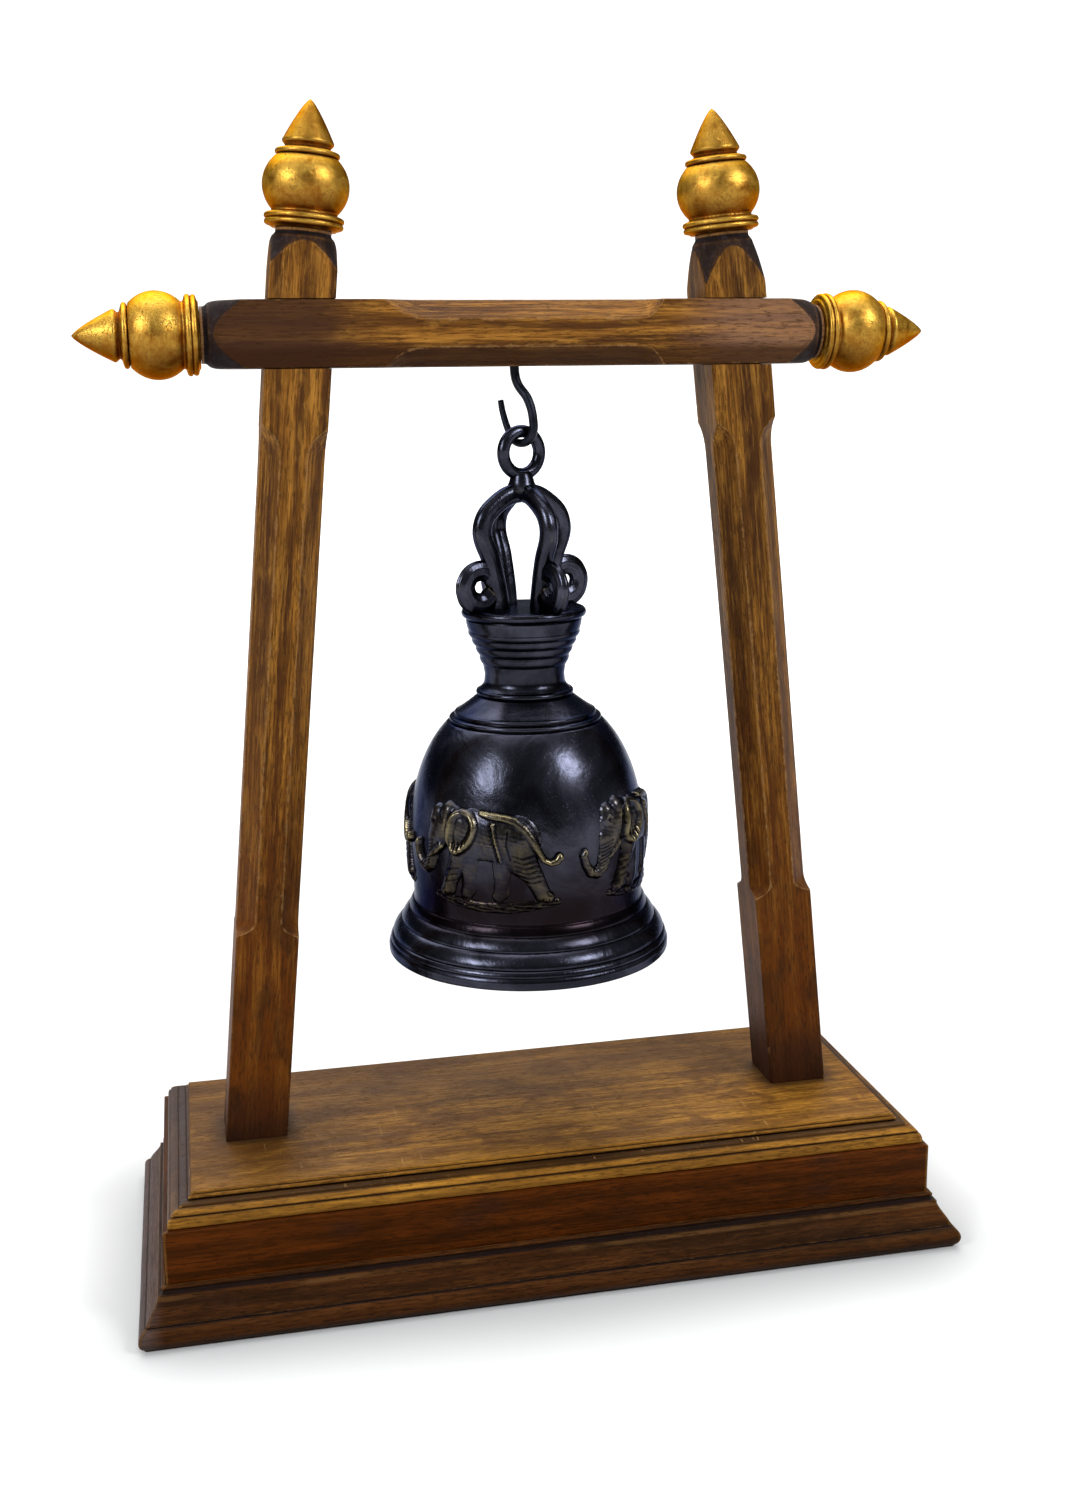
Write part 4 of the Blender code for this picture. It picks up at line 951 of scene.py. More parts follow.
def bronze(settings):
    """Near-black patina on cast bronze, worn olive-gold and pale where it stands proud, with a painted
    highlight on the relief's crests and painted shade over the waist.
    """
    tree, shader, coordinates = new_finish("dark bronze")
    z = separate(coordinates)[2]
    edge = edge_wear(tree)
    full_rise = 0.0048
    proud = stored(tree, "rise") / full_rise
    cloud = noise(coordinates, 34.0, 5.0, 0.6, 0.7)
    fine = noise(coordinates, 520.0, 5.0, 0.65)
    worn = noise(coordinates, 150.0, 4.0, 0.65, 0.4)
    pits = noise(coordinates, 900.0, 3.0, 0.6).step(0.62, 0.70)
    body = blend(cloud.step(0.35, 0.70), shaded(settings.bronze, 0.5), shaded(settings.bronze, 1.5))
    # painted shade: the waist over the lip made darker
    low = (z + cloud * 0.03).fall(RIM + 0.050, RIM + 0.100) * z.step(RIM + 0.016, RIM + 0.026)
    body = blend(low * 0.85, body, (0.0070, 0.0038, 0.0042))
    olive = (proud * 0.9 + worn * 1.6 + edge * 0.25 - 0.94).step(0.0, 0.7) * proud.step(0.0, 0.05)
    body = blend(olive * 0.40, body, settings.olive)
    skirt = proud.step(0.0, 0.04) * proud.fall(0.25, 0.60)
    rub = (edge * 0.60 * (1.0 - skirt) + worn * 1.1 + fine * 0.4 + proud * 0.30 - 1.05).step(0.10, 0.80)
    # painted highlight: the crests of ear, back and limbs lit in the rubbed colour
    crest = (proud + (worn - 0.5) * 1.1 + edge * 0.28).step(0.72, 1.20)
    body = blend((rub * 0.36).at_least(crest * 0.31), body, settings.rubbed_and_highlight)
    body = blend((edge * -1.2).step(0.10, 0.80) * 0.75, body, (0.003, 0.002, 0.002))
    scuff = noise(stretched(coordinates, z=2.4), 64.0, 6.0, 0.75, 1.2).step(0.66, 0.74)
    body = blend(scuff * 0.35, body, (0.060, 0.060, 0.066))
    roughness = 0.17 + cloud * 0.09 + fine * 0.06 + pits * 0.12 + proud * 0.05
    normal = bump(fine * 0.4 - pits * 0.15, 0.0002, 0.4)
    normal = bump(cloud, 0.0022, 0.30, normal)
    shade(shader, body, roughness, normal, metallic=1.0, specular_tint=(0.46, 0.48, 0.56, 1.0))


def dark_metal(name, tone, worn_tone, roughness_mean):
    """Blacked or plated metal, hammered or drawn, with its edges worn bright."""
    tree, shader, coordinates = new_finish(name)
    edge = edge_wear(tree)
    cloud = noise(coordinates, 130.0, 4.0, 0.6, 0.6)
    fine = noise(coordinates, 900.0, 4.0, 0.65)
    body = blend(cloud.step(0.35, 0.70), shaded(tone, 0.6), shaded(tone, 1.3))
    body = blend((edge * 0.8 + fine * 0.6 - 0.45).step(0.10, 0.80) * 0.5, body, worn_tone)
    body = blend((edge * -1.2).step(0.10, 0.9) * 0.6, body, (0.010, 0.006, 0.004))
    normal = bump(fine * 0.5 + cloud, 0.0003, 0.45)
    shade(shader, body, roughness_mean + cloud * 0.14 + fine * 0.08, normal, metallic=1.0)


def make_finishes(settings):
    frame_tones = settings.wood_light, settings.wood_warm, settings.wood_dark
    right_tones = [shaded(tone, 0.80) for tone in frame_tones]
    board_tones = (0.37, 0.178, 0.024), (0.205, 0.086, 0.011), (0.062, 0.022, 0.004)
    skirt_tones = (0.064, 0.022, 0.006), (0.036, 0.0108, 0.0030), (0.008, 0.003, 0.002)
    apron, raw = settings.apron_warm, settings.raw_wood
    apron_tones = shaded(apron, 1.7), apron, shaded(apron, 0.36)
    along_x, along_y = (0, -QUARTER, 0), (QUARTER, 0, 0)
    board_look = {"aged": board_ageing, "gloss": 0.36, "worn": (0.30, 0.15, 0.04)}
    apron_look = {"aged": apron_ageing, "gloss": 0.38, "worn": (0.17, 0.075, 0.018)}
    skirt_look = {"aged": skirt_ageing, "gloss": 0.40, "worn": (0.11, 0.050, 0.015)}
    wood("left post wood", frame_tones, (0, -LEAN, 0), (0.31, 0.17, 0), post_ageing)
    wood("right post wood", right_tones, (0, LEAN, 0), (0.83, 0.41, 0.3), post_ageing)
    wood("crossbar wood", frame_tones, along_x, (0.12, 0.66, 0.2), bar_ageing)
    wood("board wood", board_tones, along_x, (0.52, 0.23, 0.7), **board_look)
    wood("apron wood", apron_tones, along_x, (0.71, 0.35, 0.4), **apron_look)
    wood("end apron wood", apron_tones, along_y, (0.21, 0.95, 0.9), **apron_look)
    wood("skirt wood", skirt_tones, along_x, (0.37, 0.55, 0.6), **skirt_look)
    wood("end skirt wood", skirt_tones, along_y, (0.47, 0.15, 0.2), **skirt_look)
    wood("raw wood", (shaded(raw, 1.3), raw, shaded(raw, 0.5)), (0, 0, 0), gloss=0.62)
    gold_leaf(settings)
    bronze(settings)
    dark_metal("black iron", settings.iron, (0.16, 0.16, 0.17), 0.34)
    dark_metal("zinc steel", settings.zinc, (0.70, 0.70, 0.69), 0.28)


# ---------------------------------------------------------------- base
def board_outline(base):
    """Section of the board's moulded edge, (outset from the top face, height), bottom to top."""
    quirk, groove_depth, groove_width = 0.0007, 0.0010, 5.2
    step = BOARD_TOP - base.board_step
    run = base.board_edge - 3 * quirk
    rise = BOARD_TOP - BOARD_BOTTOM - base.board_step - BOARD_NOSE
    points = arc((base.board_edge - 0.0005, BOARD_BOTTOM + 0.0005), 0.0005, -90, 0, 4)
    points.append((base.board_edge, BOARD_BOTTOM + BOARD_NOSE))
    for angle in range(3, 89, 2):
        c, s = towards(angle)
        from_groove = min(abs(angle - reed) for reed in REED_ANGLES)
        reed = 1 - groove_depth / run * max(0, 1 - from_groove / groove_width)
        points.append((3 * quirk + run * c * reed, BOARD_BOTTOM + BOARD_NOSE + rise * s * reed))
    points += [(quirk * 1.1, step - 0.0007), (quirk * 0.7, step + 0.0002)]
    points += arc((quirk + 0.0002, step + 0.0010), 0.0008, -80, 70, 6)
    points += [(quirk - 0.0004, step + 0.0021)]
    points += arc((quirk - 0.0012, BOARD_TOP - 0.0009), 0.0009, 8, 90, 6)
    return points


def apron_outline(base):
    """Section of an apron, (outset from its inner face, height)."""
    top = BOARD_BOTTOM - GAP
    outer = base.apron_thickness
    soft = 0.0006
    points = [(0, soft), (soft, 0), (outer - soft, 0), (outer, soft)]
    points += arc((outer - base.apron_arris, top - base.apron_arris), base.apron_arris, 0, 90, 6)
    return points + [(soft, top), (0, top - soft)]


def skirt_outline(base):
    """Section of a skirt: top fillet, sunk groove, cap, long cove, quirk and a bead along the foot."""
    bead, width, height = base.skirt_bead, base.skirt_width, base.skirt_height
    quirk = (width - bead * 0.62, 2 * bead)
    cap = (0.0036, height - SKIRT_TOP + SKIRT_CAP - 0.0008)
    points = [(0, 0), (width - bead * 0.5, 0)]
    points += arc((width - bead, bead), bead, -50, 66, 18)
    points += [(quirk[0] - 0.0011, quirk[1] - 0.0005)]
    points += sweep(quirk, (quirk[0] - 0.0018, quirk[1] + 0.0040),
                    (cap[0] + 0.0012, cap[1] - 0.0034), cap, 14)
    points += arc((cap[0] - 0.0006, cap[1] + 0.0008), 0.0006, 0, 100, 5)
    points += [(0.0012, cap[1] + 0.0018), (0.0009, height - 0.0022)]
    points += arc((0.0010, height - 0.0009), 0.0009, -60, 90, 7)
    return points + [(0, height)]


def make_side(tree, outline, half, side, finish, **sizes):
    """One side of a mitred frame whose inner faces are half[0] and half[1] from the middle."""
    return grow(tree, outline, finish, half_along=half[side % 2], half_across=half[1 - side % 2],
                quarter=side, **sizes)


def make_board(base, tree):
    """The board: four moulded edges welded at their mitres, with a flat face above and below."""
    outline = outline_mesh(refine(board_outline(base), 0.0007))
    half = BOARD_END - base.board_edge, BOARD_SIDE - base.board_edge
    bm = bmesh.new()
    for side in range(4):
        bm.from_mesh(make_side(tree, outline.copy(), half, side, "board wood", stations=240, joint=0.0,
                               unevenness=0.0))
    bmesh.ops.remove_doubles(bm, verts=bm.verts, dist=0.00001)
    bmesh.ops.holes_fill(bm, edges=bm.edges, sides=0)
    bmesh.ops.recalc_face_normals(bm, faces=bm.faces)
    board = bpy.data.meshes.new("board")
    bm.to_mesh(board)
    bm.free()
    board.materials.append(bpy.data.materials["board wood"])
    settle("board_top", [board], "stand", ["top_board"], reach=0.00020)


class BELL_OT_base(bpy.types.Operator):
    """Make the moulded board, the four sides and the four base mouldings"""
    bl_idname = "sanctus_bell.base"
    bl_label = "Base"

    def execute(self, context):
        base = context.scene.sanctus_bell.base
        tree = moulding_tree()
        make_board(base, tree)
        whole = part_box("front_skirt")[1].x, -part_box("front_skirt")[0].y
        apron_half = [edge - base.skirt_width - GAP - base.apron_thickness for edge in whole]
        skirt_half = [edge - base.skirt_width for edge in whole]
        kinds = (("side", "apron", apron_outline(base), apron_half, base.unevenness * 0.4),
                 ("moulding", "skirt", skirt_outline(base), skirt_half, base.unevenness))
        for side, word in enumerate(("front", "right", "back", "left")):
            for kind, node, outline, half, unevenness in kinds:
                closed = outline_mesh(refine(outline + outline[:1], 0.0014)[:-1], closed=True)
                strip = make_side(tree, closed, half, side, "end " * (side % 2) + node + " wood",
                                  stations=int(2 * half[side % 2] / 0.0016), joint=GAP / 2,
                                  unevenness=unevenness)
                settle(f"{word}_{kind}", [strip], "stand", [f"{word}_{node}"])
        for end in ("front_left", "front_right", "back_left", "back_right"):
            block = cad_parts[end + "_glue_block"]
            block.data.materials.clear()
            block.data.materials.append(bpy.data.materials["raw wood"])
        return {"FINISHED"}


# ---------------------------------------------------------------- sticks
def post_frame(side):
    """Axes of a post: Z up along its lean, origin at its crossing with the bar."""
    return Matrix.Translation((side * CROSSING, 0, BAR_AXIS)) @ Matrix.Rotation(-side * LEAN, 4, "Y")


def axis_mesh(heights):
    """A stick's axis, closed at both ends by a point that has no width."""
    heights = [heights[0]] + heights + [heights[-1]]
    fill = [0.0] + [1.0] * (len(heights) - 2) + [0.0]
    points = [(0, 0, i) for i in range(len(heights))]
    return line_mesh(points, height=heights, fill=fill)


def make_stick(sticks, tree, finish, heights, **sizes):
    """A stick along Z. Its wear is marked here, so that the cuts leave it as it is."""
    stick = grow(tree, axis_mesh(heights), finish, sides=sticks.sides, half_section=STOCK / 2,
                 worn_edge=sticks.worn_edge, stop_edge=sticks.stop_edge, neck_radius=sticks.neck_radius,
                 **sizes)
    mark_edges(stick, reach=0.00014, rounds=6)
    return stick


def make_post(sticks, tree, side, word):
    to_foot = (BAR_AXIS - BOARD_TOP) / math.cos(LEAN)
    low, high = -to_foot + sticks.foot_block, -sticks.joint_block
    foot_stop, joint_stop = 0.010, 0.020
    dome_length = sticks.dome_length * (1.0 if side < 0 else 1.5)
    dome = POST_SEAT - 0.002 - dome_length
    heights = spread((-to_foot - 0.006, 0.0018), (low - 0.001, 0.0005), (low + foot_stop, 0.0018),
                     (high - joint_stop, 0.0007), (high + 0.001, 0.0016), (dome, 0.0006),
                     (POST_SEAT, 0.0016), (POST_SEAT + 0.00004, 0.002), (POST_SEAT + TENON - GAP, 1))
    post = make_stick(sticks, tree, word + " post wood", heights, chamfer_low=low, chamfer_high=high,
                      stop_low=foot_stop, stop_high=joint_stop, seat=POST_SEAT, both_ends=0.0,
                      dome_length=dome_length)
    post.transform(post_frame(side))

    # trimmed flat on the board, halved for the lap, and drilled for its screw
    foot = Vector((side * FOOT, 0, BOARD_TOP + GAP))
    post = cut_away(post, (foot.x - 0.06, -0.06, BOARD_TOP - 0.03), (foot.x + 0.06, 0.06, foot.z))
    crossing = Vector((side * CROSSING, 0, BAR_AXIS))
    lap = Vector((2 * STOCK, 0, STOCK / 2 + GAP))
    post = cut_away(post, crossing - lap - Vector((0, STOCK, 0)), crossing + lap + Vector((0, GAP / 2, 0)))
    pilot, depth = 0.0026, 0.032
    post = cut_away(post, foot - Vector((pilot, pilot, 0.01)), foot + Vector((pilot, pilot, depth)))
    settle(word + "_upright", [post], "stand", [word + "_post"])


def make_crossbar(sticks, tree):
    low, high = -CROSSING + sticks.bar_block, CROSSING - sticks.bar_block
    left_stop, right_stop = 0.030, 0.016
    dome_length = sticks.dome_length * 1.15
    dome = BAR_SEAT - 0.002 - dome_length
    end = BAR_SEAT + TENON - GAP
    heights = spread((-end, 0.002), (-BAR_SEAT - 0.00004, 0.002), (-BAR_SEAT, 0.0006), (-dome, 0.0018),
                     (low - 0.001, 0.0007), (low + left_stop, 0.0018), (high - right_stop, 0.0006),
                     (high + 0.001, 0.0018), (dome, 0.0006), (BAR_SEAT, 0.002),
                     (BAR_SEAT + 0.00004, 0.002), (end, 1))
    bar = make_stick(sticks, tree, "crossbar wood", heights, chamfer_low=low, chamfer_high=high,
                     stop_low=left_stop, stop_high=right_stop, seat=BAR_SEAT, both_ends=1.0,
                     dome_length=dome_length)
    bar.transform(Matrix.Translation((0, 0, BAR_AXIS)) @ Matrix.Rotation(QUARTER, 4, "Y"))

    # halved for the two laps, and drilled for the hook
    half = STOCK / 2 + GAP
    for side, _ in ENDS:
        bar = cut_away(bar, (-half, -GAP / 2, -2 * STOCK), (half, STOCK, 2 * STOCK), post_frame(side))
    shank = hook_point(HOOK_SHANK, 0)
    pilot, depth = 0.0024, 0.0183
    bar = cut_away(bar, (shank.x - pilot, shank.y - pilot, BAR_AXIS - STOCK),
                   (shank.x + pilot, shank.y + pilot, BAR_AXIS - STOCK / 2 + depth))
    settle("crossbeam", [bar], "stand", ["crossbar"])


class BELL_OT_sticks(bpy.types.Operator):
    """Make the two leaning posts and the crossbar, half-lapped into each other"""
    bl_idname = "sanctus_bell.sticks"
    bl_label = "Posts and Crossbar"

    def execute(self, context):
        sticks = context.scene.sanctus_bell.sticks
        tree = stick_tree()
        for side, word in ENDS:
            make_post(sticks, tree, side, word)
        make_crossbar(sticks, tree)
        return {"FINISHED"}


# ---------------------------------------------------------------- finials
def finial_outline(finials):
    """Spire, ring, belly and collar, from the tip down to the seat and up the socket."""
    base, steps = 0.0376, 18
    length = finials.length - base
    points = [(0, finials.length)]
    points += [(finials.spire * (i / steps) ** 0.78, base + length * (1 - i / steps))
               for i in range(1, steps + 1)]
    points += [(finials.spire * 0.99, base - 0.0008), (finials.spire * 0.93, base - 0.0016)]
    points += sweep((finials.spire * 0.88, base - 0.0022), (finials.spire * 0.84, base - 0.0030),
                    (finials.ring * 0.80, base - 0.0034), (finials.ring * 0.88, base - 0.0037), 5)
    points += arc((finials.ring - 0.0013, 0.0324), 0.0013, 80, -84, 9)
    points += [(finials.ring * 0.88, 0.0308)]
    for angle in range(44, -41, -4):
        c, s = towards(angle)
        points.append((finials.belly * c, 0.0188 + 0.0172 * s))
    waist, collar = finials.collar * 0.82, finials.collar
    points += sweep((waist, 0.0073), (waist + 0.0002, 0.0065),
                    (collar - 0.0028, 0.0067), (collar - 0.0014, 0.0062), 7)
    points += arc((collar - 0.0015, 0.0047), 0.0015, 72, -32, 8) + [(collar - 0.0009, 0.0036)]
    points += arc((collar - 0.0015, 0.0022), 0.0013, 42, -66, 7)
    points += [(collar - 0.0026, 0.0006), (collar - 0.0034, 0)]
    socket = 0.0063
    return points + [(socket, 0), (socket, TENON + GAP), (0, TENON + GAP)]


class BELL_OT_finials(bpy.types.Operator):
    """Make the four turned and gilt finials"""
    bl_idname = "sanctus_bell.finials"
    bl_label = "Finials"

    def execute(self, context):
        finials = context.scene.sanctus_bell.finials
        tree = turning_tree()
        points = refine(finial_outline(finials), 0.0009)
        lift = Matrix.Translation((0, 0, GAP))
        for side, word in ENDS:
            on_post = post_frame(side) @ Matrix.Translation((0, 0, POST_SEAT)) @ lift
            on_bar = (Matrix.Translation((side * BAR_SEAT, 0, BAR_AXIS))
                      @ Matrix.Rotation(side * QUARTER, 4, "Y") @ lift)
            for kind, matrix in (("post", on_post), ("bar", on_bar)):
                mesh = grow(tree, outline_mesh(points), "gold leaf", facets=finials.facets)
                # each spun differently, so that no two show the same unevenness
                spin = Matrix.Rotation(side * 1.1 + (kind == "bar") * 0.7, 4, "Z")
                mesh.transform(matrix @ spin)
                settle(f"{word}_{kind}_gilt_finial", [mesh], "stand",
                       [f"{word}_{kind}_finial"], crease=50)
        return {"FINISHED"}


# ---------------------------------------------------------------- hook and clapper
def hook_point(reach, rise):
    """A point in the hook's own upright plane: reach towards its tip, rise above the pivot."""
    return Vector((reach * math.cos(HOOK_TURN), reach * math.sin(HOOK_TURN), PIVOT + rise))


def wire_mesh(points, fine, thick=lambda share_along: 1.0):
    """A smooth path through the points, with its thickness at each place."""
    curve = bpy.data.curves.new("path", "CURVE")
    curve.dimensions = "3D"
    curve.resolution_u = fine
    spline = curve.splines.new("BEZIER")
    spline.bezier_points.add(len(points) - 1)
    for knot, point in zip(spline.bezier_points, points):
        knot.co = point
        knot.handle_left_type = knot.handle_right_type = "AUTO"
    places = [vertex.co.copy() for vertex in take_mesh(put_in_scene("path", curve)).vertices]
    last = len(places) - 1
    return line_mesh(places, thick=[thick(i / last) for i in range(last + 1)])


def make_hook(tree):
    """A wire screw hook: straight shank, an easy sway, then the bowl and the tapered tip."""
    bend, shank, tip, tip_rise = 0.0070, HOOK_SHANK, 0.0114, 0.0200
    path = [(shank, HOOK_DROP + 0.018 - GAP), (shank, HOOK_DROP + 0.009), (shank, HOOK_DROP)]
    path += [(shank * 0.6, HOOK_DROP * 0.80), (-bend * 0.62, HOOK_DROP * 0.56), (-bend, bend * 1.45)]
    path += [(bend * c, bend + bend * s) for c, s in map(towards, (-165, -130, -90, -50, -15))]
    path += [((bend + tip) / 2 + 0.0008, (bend + tip_rise) / 2), (tip, tip_rise)]
    places = [hook_point(reach, rise) for reach, rise in path]
    mesh = grow(tree, wire_mesh(places, 14, lambda t: 1 - 0.36 * t ** 3), "black iron", sides=28,
                half_width=HOOK_WIRE, half_depth=HOOK_WIRE, unevenness=0.00004)
    settle("screw_hook", [mesh], "stand", ["bell_hook"])


def clapper_frame():
    """Origin in the middle of the staple's bend, X along it."""
    return Matrix.Translation((0, 0, CROWN_PLATE - 0.019)) @ Matrix.Rotation(HOOK_TURN, 4, "Z")


def make_clapper(wires, turnings):
    """The staple, the rod whose eye hangs in it, and the ball on the rod's foot."""
    leg, top, bend, staple_wire = 0.0065, 0.0157, 0.0042, 0.0016
    points = [Vector((x, 0, z)) for x, z in (
        (-leg, top), (-leg, top / 2), (-leg, bend), (-leg + bend / 4, bend / 4), (-leg + bend, 0))]
    points += [Vector((-point.x, 0, point.z)) for point in reversed(points)]
    staple = grow(wires, wire_mesh(points, 10), "black iron", sides=20, half_width=staple_wire,
                  half_depth=staple_wire)
    eye_radius, eye_wire = 0.0043, 0.0015
    eye_centre = staple_wire + GAP - 0.0028
    eye = outline_mesh(arc((eye_radius, 0), eye_wire, 0, 360, 20)[:-1], closed=True)
    eye = grow(turnings, eye, "black iron", facets=48)
    eye.transform(Matrix.Translation((0, 0, eye_centre)) @ Matrix.Rotation(QUARTER, 4, "Y"))
    ball_centre, ball_radius, neck, socket_depth = -0.1405, 0.0115, 0.0040, 0.016
    ball_top = ball_centre + ball_radius + 0.0034
    rod_radius, rod_top, rod_end = 0.0018, eye_centre - eye_radius, ball_top - socket_depth + GAP
    shaft = refine([(0, rod_top), (rod_radius, rod_top), (rod_radius, rod_end), (0, rod_end)], 0.004)
    shaft = grow(turnings, outline_mesh(shaft), "black iron", facets=24, unevenness=0.00005)
    socket = 0.0021
    outline = [(socket, ball_top - socket_depth), (socket, ball_top), (neck - 0.0004, ball_top),
               (neck, ball_top - 0.0004), (neck, ball_top - 0.0020)]
    outline += arc((0, ball_centre), ball_radius, 68, -90, 28) + [(0, ball_top - socket_depth)]
    ball = outline_mesh(refine(outline, 0.0012), closed=True)
    ball = grow(turnings, ball, "black iron", facets=64)
    for mesh in (staple, eye, shaft, ball):
        mesh.transform(clapper_frame())
    settle("staple", [staple], "bell", ["clapper_staple"])
    settle("rod", [eye, shaft], "clapper", ["clapper_rod"])
    settle("ball", [ball], "clapper", ["clapper_ball"])


def washer_outline(top):
    hole, radius, thickness, soft = 0.0025, 0.0075, 0.0012, 0.0003
    return [(hole, top), (radius - soft, top), (radius, top - soft), (radius, top - thickness + soft),
            (radius - soft, top - thickness), (hole, top - thickness)]


def screw_outline(head_top):
    """Point, thread and round head of a screw that points up, from the tip to the head's recess."""
    core, thread, pitch, turns = 0.0017, 0.0022, 0.0014, 22
    head, flange, dome = 0.0042, 0.0010, 0.0018
    points = [(0, head_top + 0.0444), (0.0009, head_top + 0.0424)]
    for i in range(turns):
        foot = head_top + 0.0370 - i * pitch
        points += [(core, foot + 0.0010), (thread, foot + 0.0004), (thread, foot + 0.0002)]
    points += [(thread, head_top), (head, head_top), (head, head_top - flange)]
    points += [(head * c, head_top - flange - dome * s) for c, s in arc((0, 0), 1, 10, 75, 8)]
    return points + [(0.0007, head_top - 0.0028), (0.0007, head_top - 0.0018), (0, head_top - 0.0018)]


def make_fixings(turnings):
    """The washer and the screw that draw each post down, from inside the hollow base."""
    top = BOARD_BOTTOM - GAP
    for side, word in ENDS:
        washer = grow(turnings, outline_mesh(washer_outline(top), closed=True), "zinc steel", facets=64)
        screw = grow(turnings, outline_mesh(screw_outline(top - 0.0012 - GAP)), "zinc steel", facets=48)
        for mesh in (washer, screw):
            mesh.transform(Matrix.Translation((side * FOOT, 0, 0)))
        settle(word + "_washer", [washer], "stand", [word + "_post_washer"])
        settle(word + "_screw", [screw], "stand", [word + "_post_screw"])


class BELL_OT_metalwork(bpy.types.Operator):
    """Make the hook, the clapper, and the screws and washers under the posts"""
    bl_idname = "sanctus_bell.metalwork"
    bl_label = "Hook, Clapper and Screws"

    def execute(self, context):
        wires, turnings = wire_tree(), turning_tree()
        make_hook(wires)
        make_clapper(wires, turnings)
        make_fixings(turnings)
        return {"FINISHED"}


# ---------------------------------------------------------------- bell
def neck_outline(bell, top):
    """Rounded plate edge, a flare that is smooth and then beaded, and the neck with its double torus."""
    points = refine([(0, top), (bell.plate - 0.003, top)], 0.0018)
    points += arc((bell.plate - 0.0023, top - 0.0023), 0.0023, 84, -62, 10)
    points += [(bell.plate - 0.0023, top - 0.0050)]
    flare = sweep((bell.plate - 0.0019, top - 0.0056), (bell.plate - 0.0022, top - 0.0130),
                  (bell.neck + 0.0010, top - 0.0210), (bell.neck, top - 0.0325), 96)
    first, last, bead_rise = 22, 82, 0.0007
    for i, (radius, height) in enumerate(flare):
        turn = math.sin(math.pi * bell.neck_beads * (i - first) / (last - first)) ** 2
        points.append((radius + bead_rise * math.sqrt(turn) * (first < i < last) - 0.0002, height))
    points += sweep((bell.neck, top - 0.0350), (bell.neck + 0.0001, top - 0.0375),
                    (bell.torus - 0.0026, top - 0.0385), (bell.torus - 0.0016, top - 0.0396), 10)
    points += arc((bell.torus - 0.0016, top - 0.0411), 0.0015, 84, -50, 9)
    return points


def shoulder_outline(bell, top):
    """Sloping shoulder, its double ridge, and the dome down to the barrel and the waist."""
    points = sweep((bell.torus - 0.0008, top - 0.0426), (0.0266, top - 0.0452), (0.0308, top - 0.0484),
                   (0.0338, top - 0.0503), 12)
    points += arc((0.0339, top - 0.0512), 0.0009, 70, -35, 6)
    points += [(0.0349, top - 0.0524)]
    points += arc((0.0365, top - 0.0538), 0.0010, 75, -35, 6)
    points += [(0.0372, top - 0.0552)]
    dome = (0.0385, top - 0.0556)
    points += sweep(dome, (dome[0] + 0.0082, dome[1] - 0.0076), (bell.barrel - 0.0002, top - 0.0820),
                    (bell.barrel, top - 0.1120), 60)
    points += sweep(points[-1], (bell.barrel, top - 0.1240), (bell.waist, top - 0.1330),
                    (bell.waist, top - 0.1430), 24)[1:]
    return points


def lip_outline(bell, top, rim):
    """The flared lip with its stepped ridges, round the rim to the inner wall."""
    crest = (RIM_RADIUS - 0.0004, rim + 0.0030)
    flare = sweep((bell.waist, top - 0.1430), (bell.waist + 0.0010, top - 0.1510),
                  (crest[0] - 0.0030, crest[1] + 0.0110), crest, 90)[1:]
    # depth of each ridge under the crown plate, half its width, how far it stands out
    ridges = ((0.1466, 0.0024, 0.0010), (0.1521, 0.0031, 0.0014), (0.1588, 0.0036, 0.0016),
              (0.1640, 0.0016, 0.0010), (0.1672, 0.0016, 0.0007))
    points = []
    for radius, height in flare:
        depth = top - height
        stand = sum(rise * math.sqrt(max(0, 1 - ((depth - at) / half) ** 2))
                    for at, half, rise in ridges)
        points.append((radius + stand, height))
    points += arc((RIM_RADIUS - 0.0012, rim + 0.0012), 0.0012, 20, -90, 6)
    inner = RIM_RADIUS - bell.lip_wall
    return points + [(inner + 0.0012, rim), (inner + 0.0002, rim + 0.0004), (inner, rim + 0.0010)]


def hollow_outline(bell, top, rim):
    """The inner wall, from the rim up to the middle of the crown plate's underside."""
    foot = (RIM_RADIUS - bell.lip_wall, rim + 0.0010)
    waist = (bell.waist - bell.wall, top - 0.1410)
    barrel = (bell.barrel - bell.wall, top - 0.1120)
    points = sweep(foot, (foot[0] - 0.0035, foot[1] + 0.0090),
                   (waist[0] + 0.0010, waist[1] - 0.0100), waist, 14)
    points += sweep(waist, (waist[0], waist[1] + 0.0080), (barrel[0], barrel[1] - 0.0100), barrel, 8)[1:]
    shoulder = (0.0385 - 0.4 * bell.wall, top - 0.0545 - 1.6 * bell.wall)
    points += sweep(barrel, (barrel[0] - 0.0005, barrel[1] + 0.0280),
                    (shoulder[0] + 0.0080, shoulder[1] - 0.0080), shoulder, 18)[1:]
    bore = 0.0140
    throat = (bore, top - 0.0412 - 0.0022 - bell.wall)
    points += [(bore + 0.0060, throat[1] - 0.0012), throat]
    return points[1:] + [(bore, top - 0.0090), (0, top - 0.0090)]


def make_body(bell):
    top, rim = CROWN_PLATE, RIM
    outline = neck_outline(bell, top) + shoulder_outline(bell, top) + lip_outline(bell, top, rim)
    outline += refine(hollow_outline(bell, top, rim), 0.006)
    mesh = grow(turning_tree(), outline_mesh(outline), "dark bronze", facets=bell.facets,
                unevenness=0.00012, waves=26.0)
    return settle("bell_body", [mesh], "bell", ["bell"], crease=55, reach=0.0003)


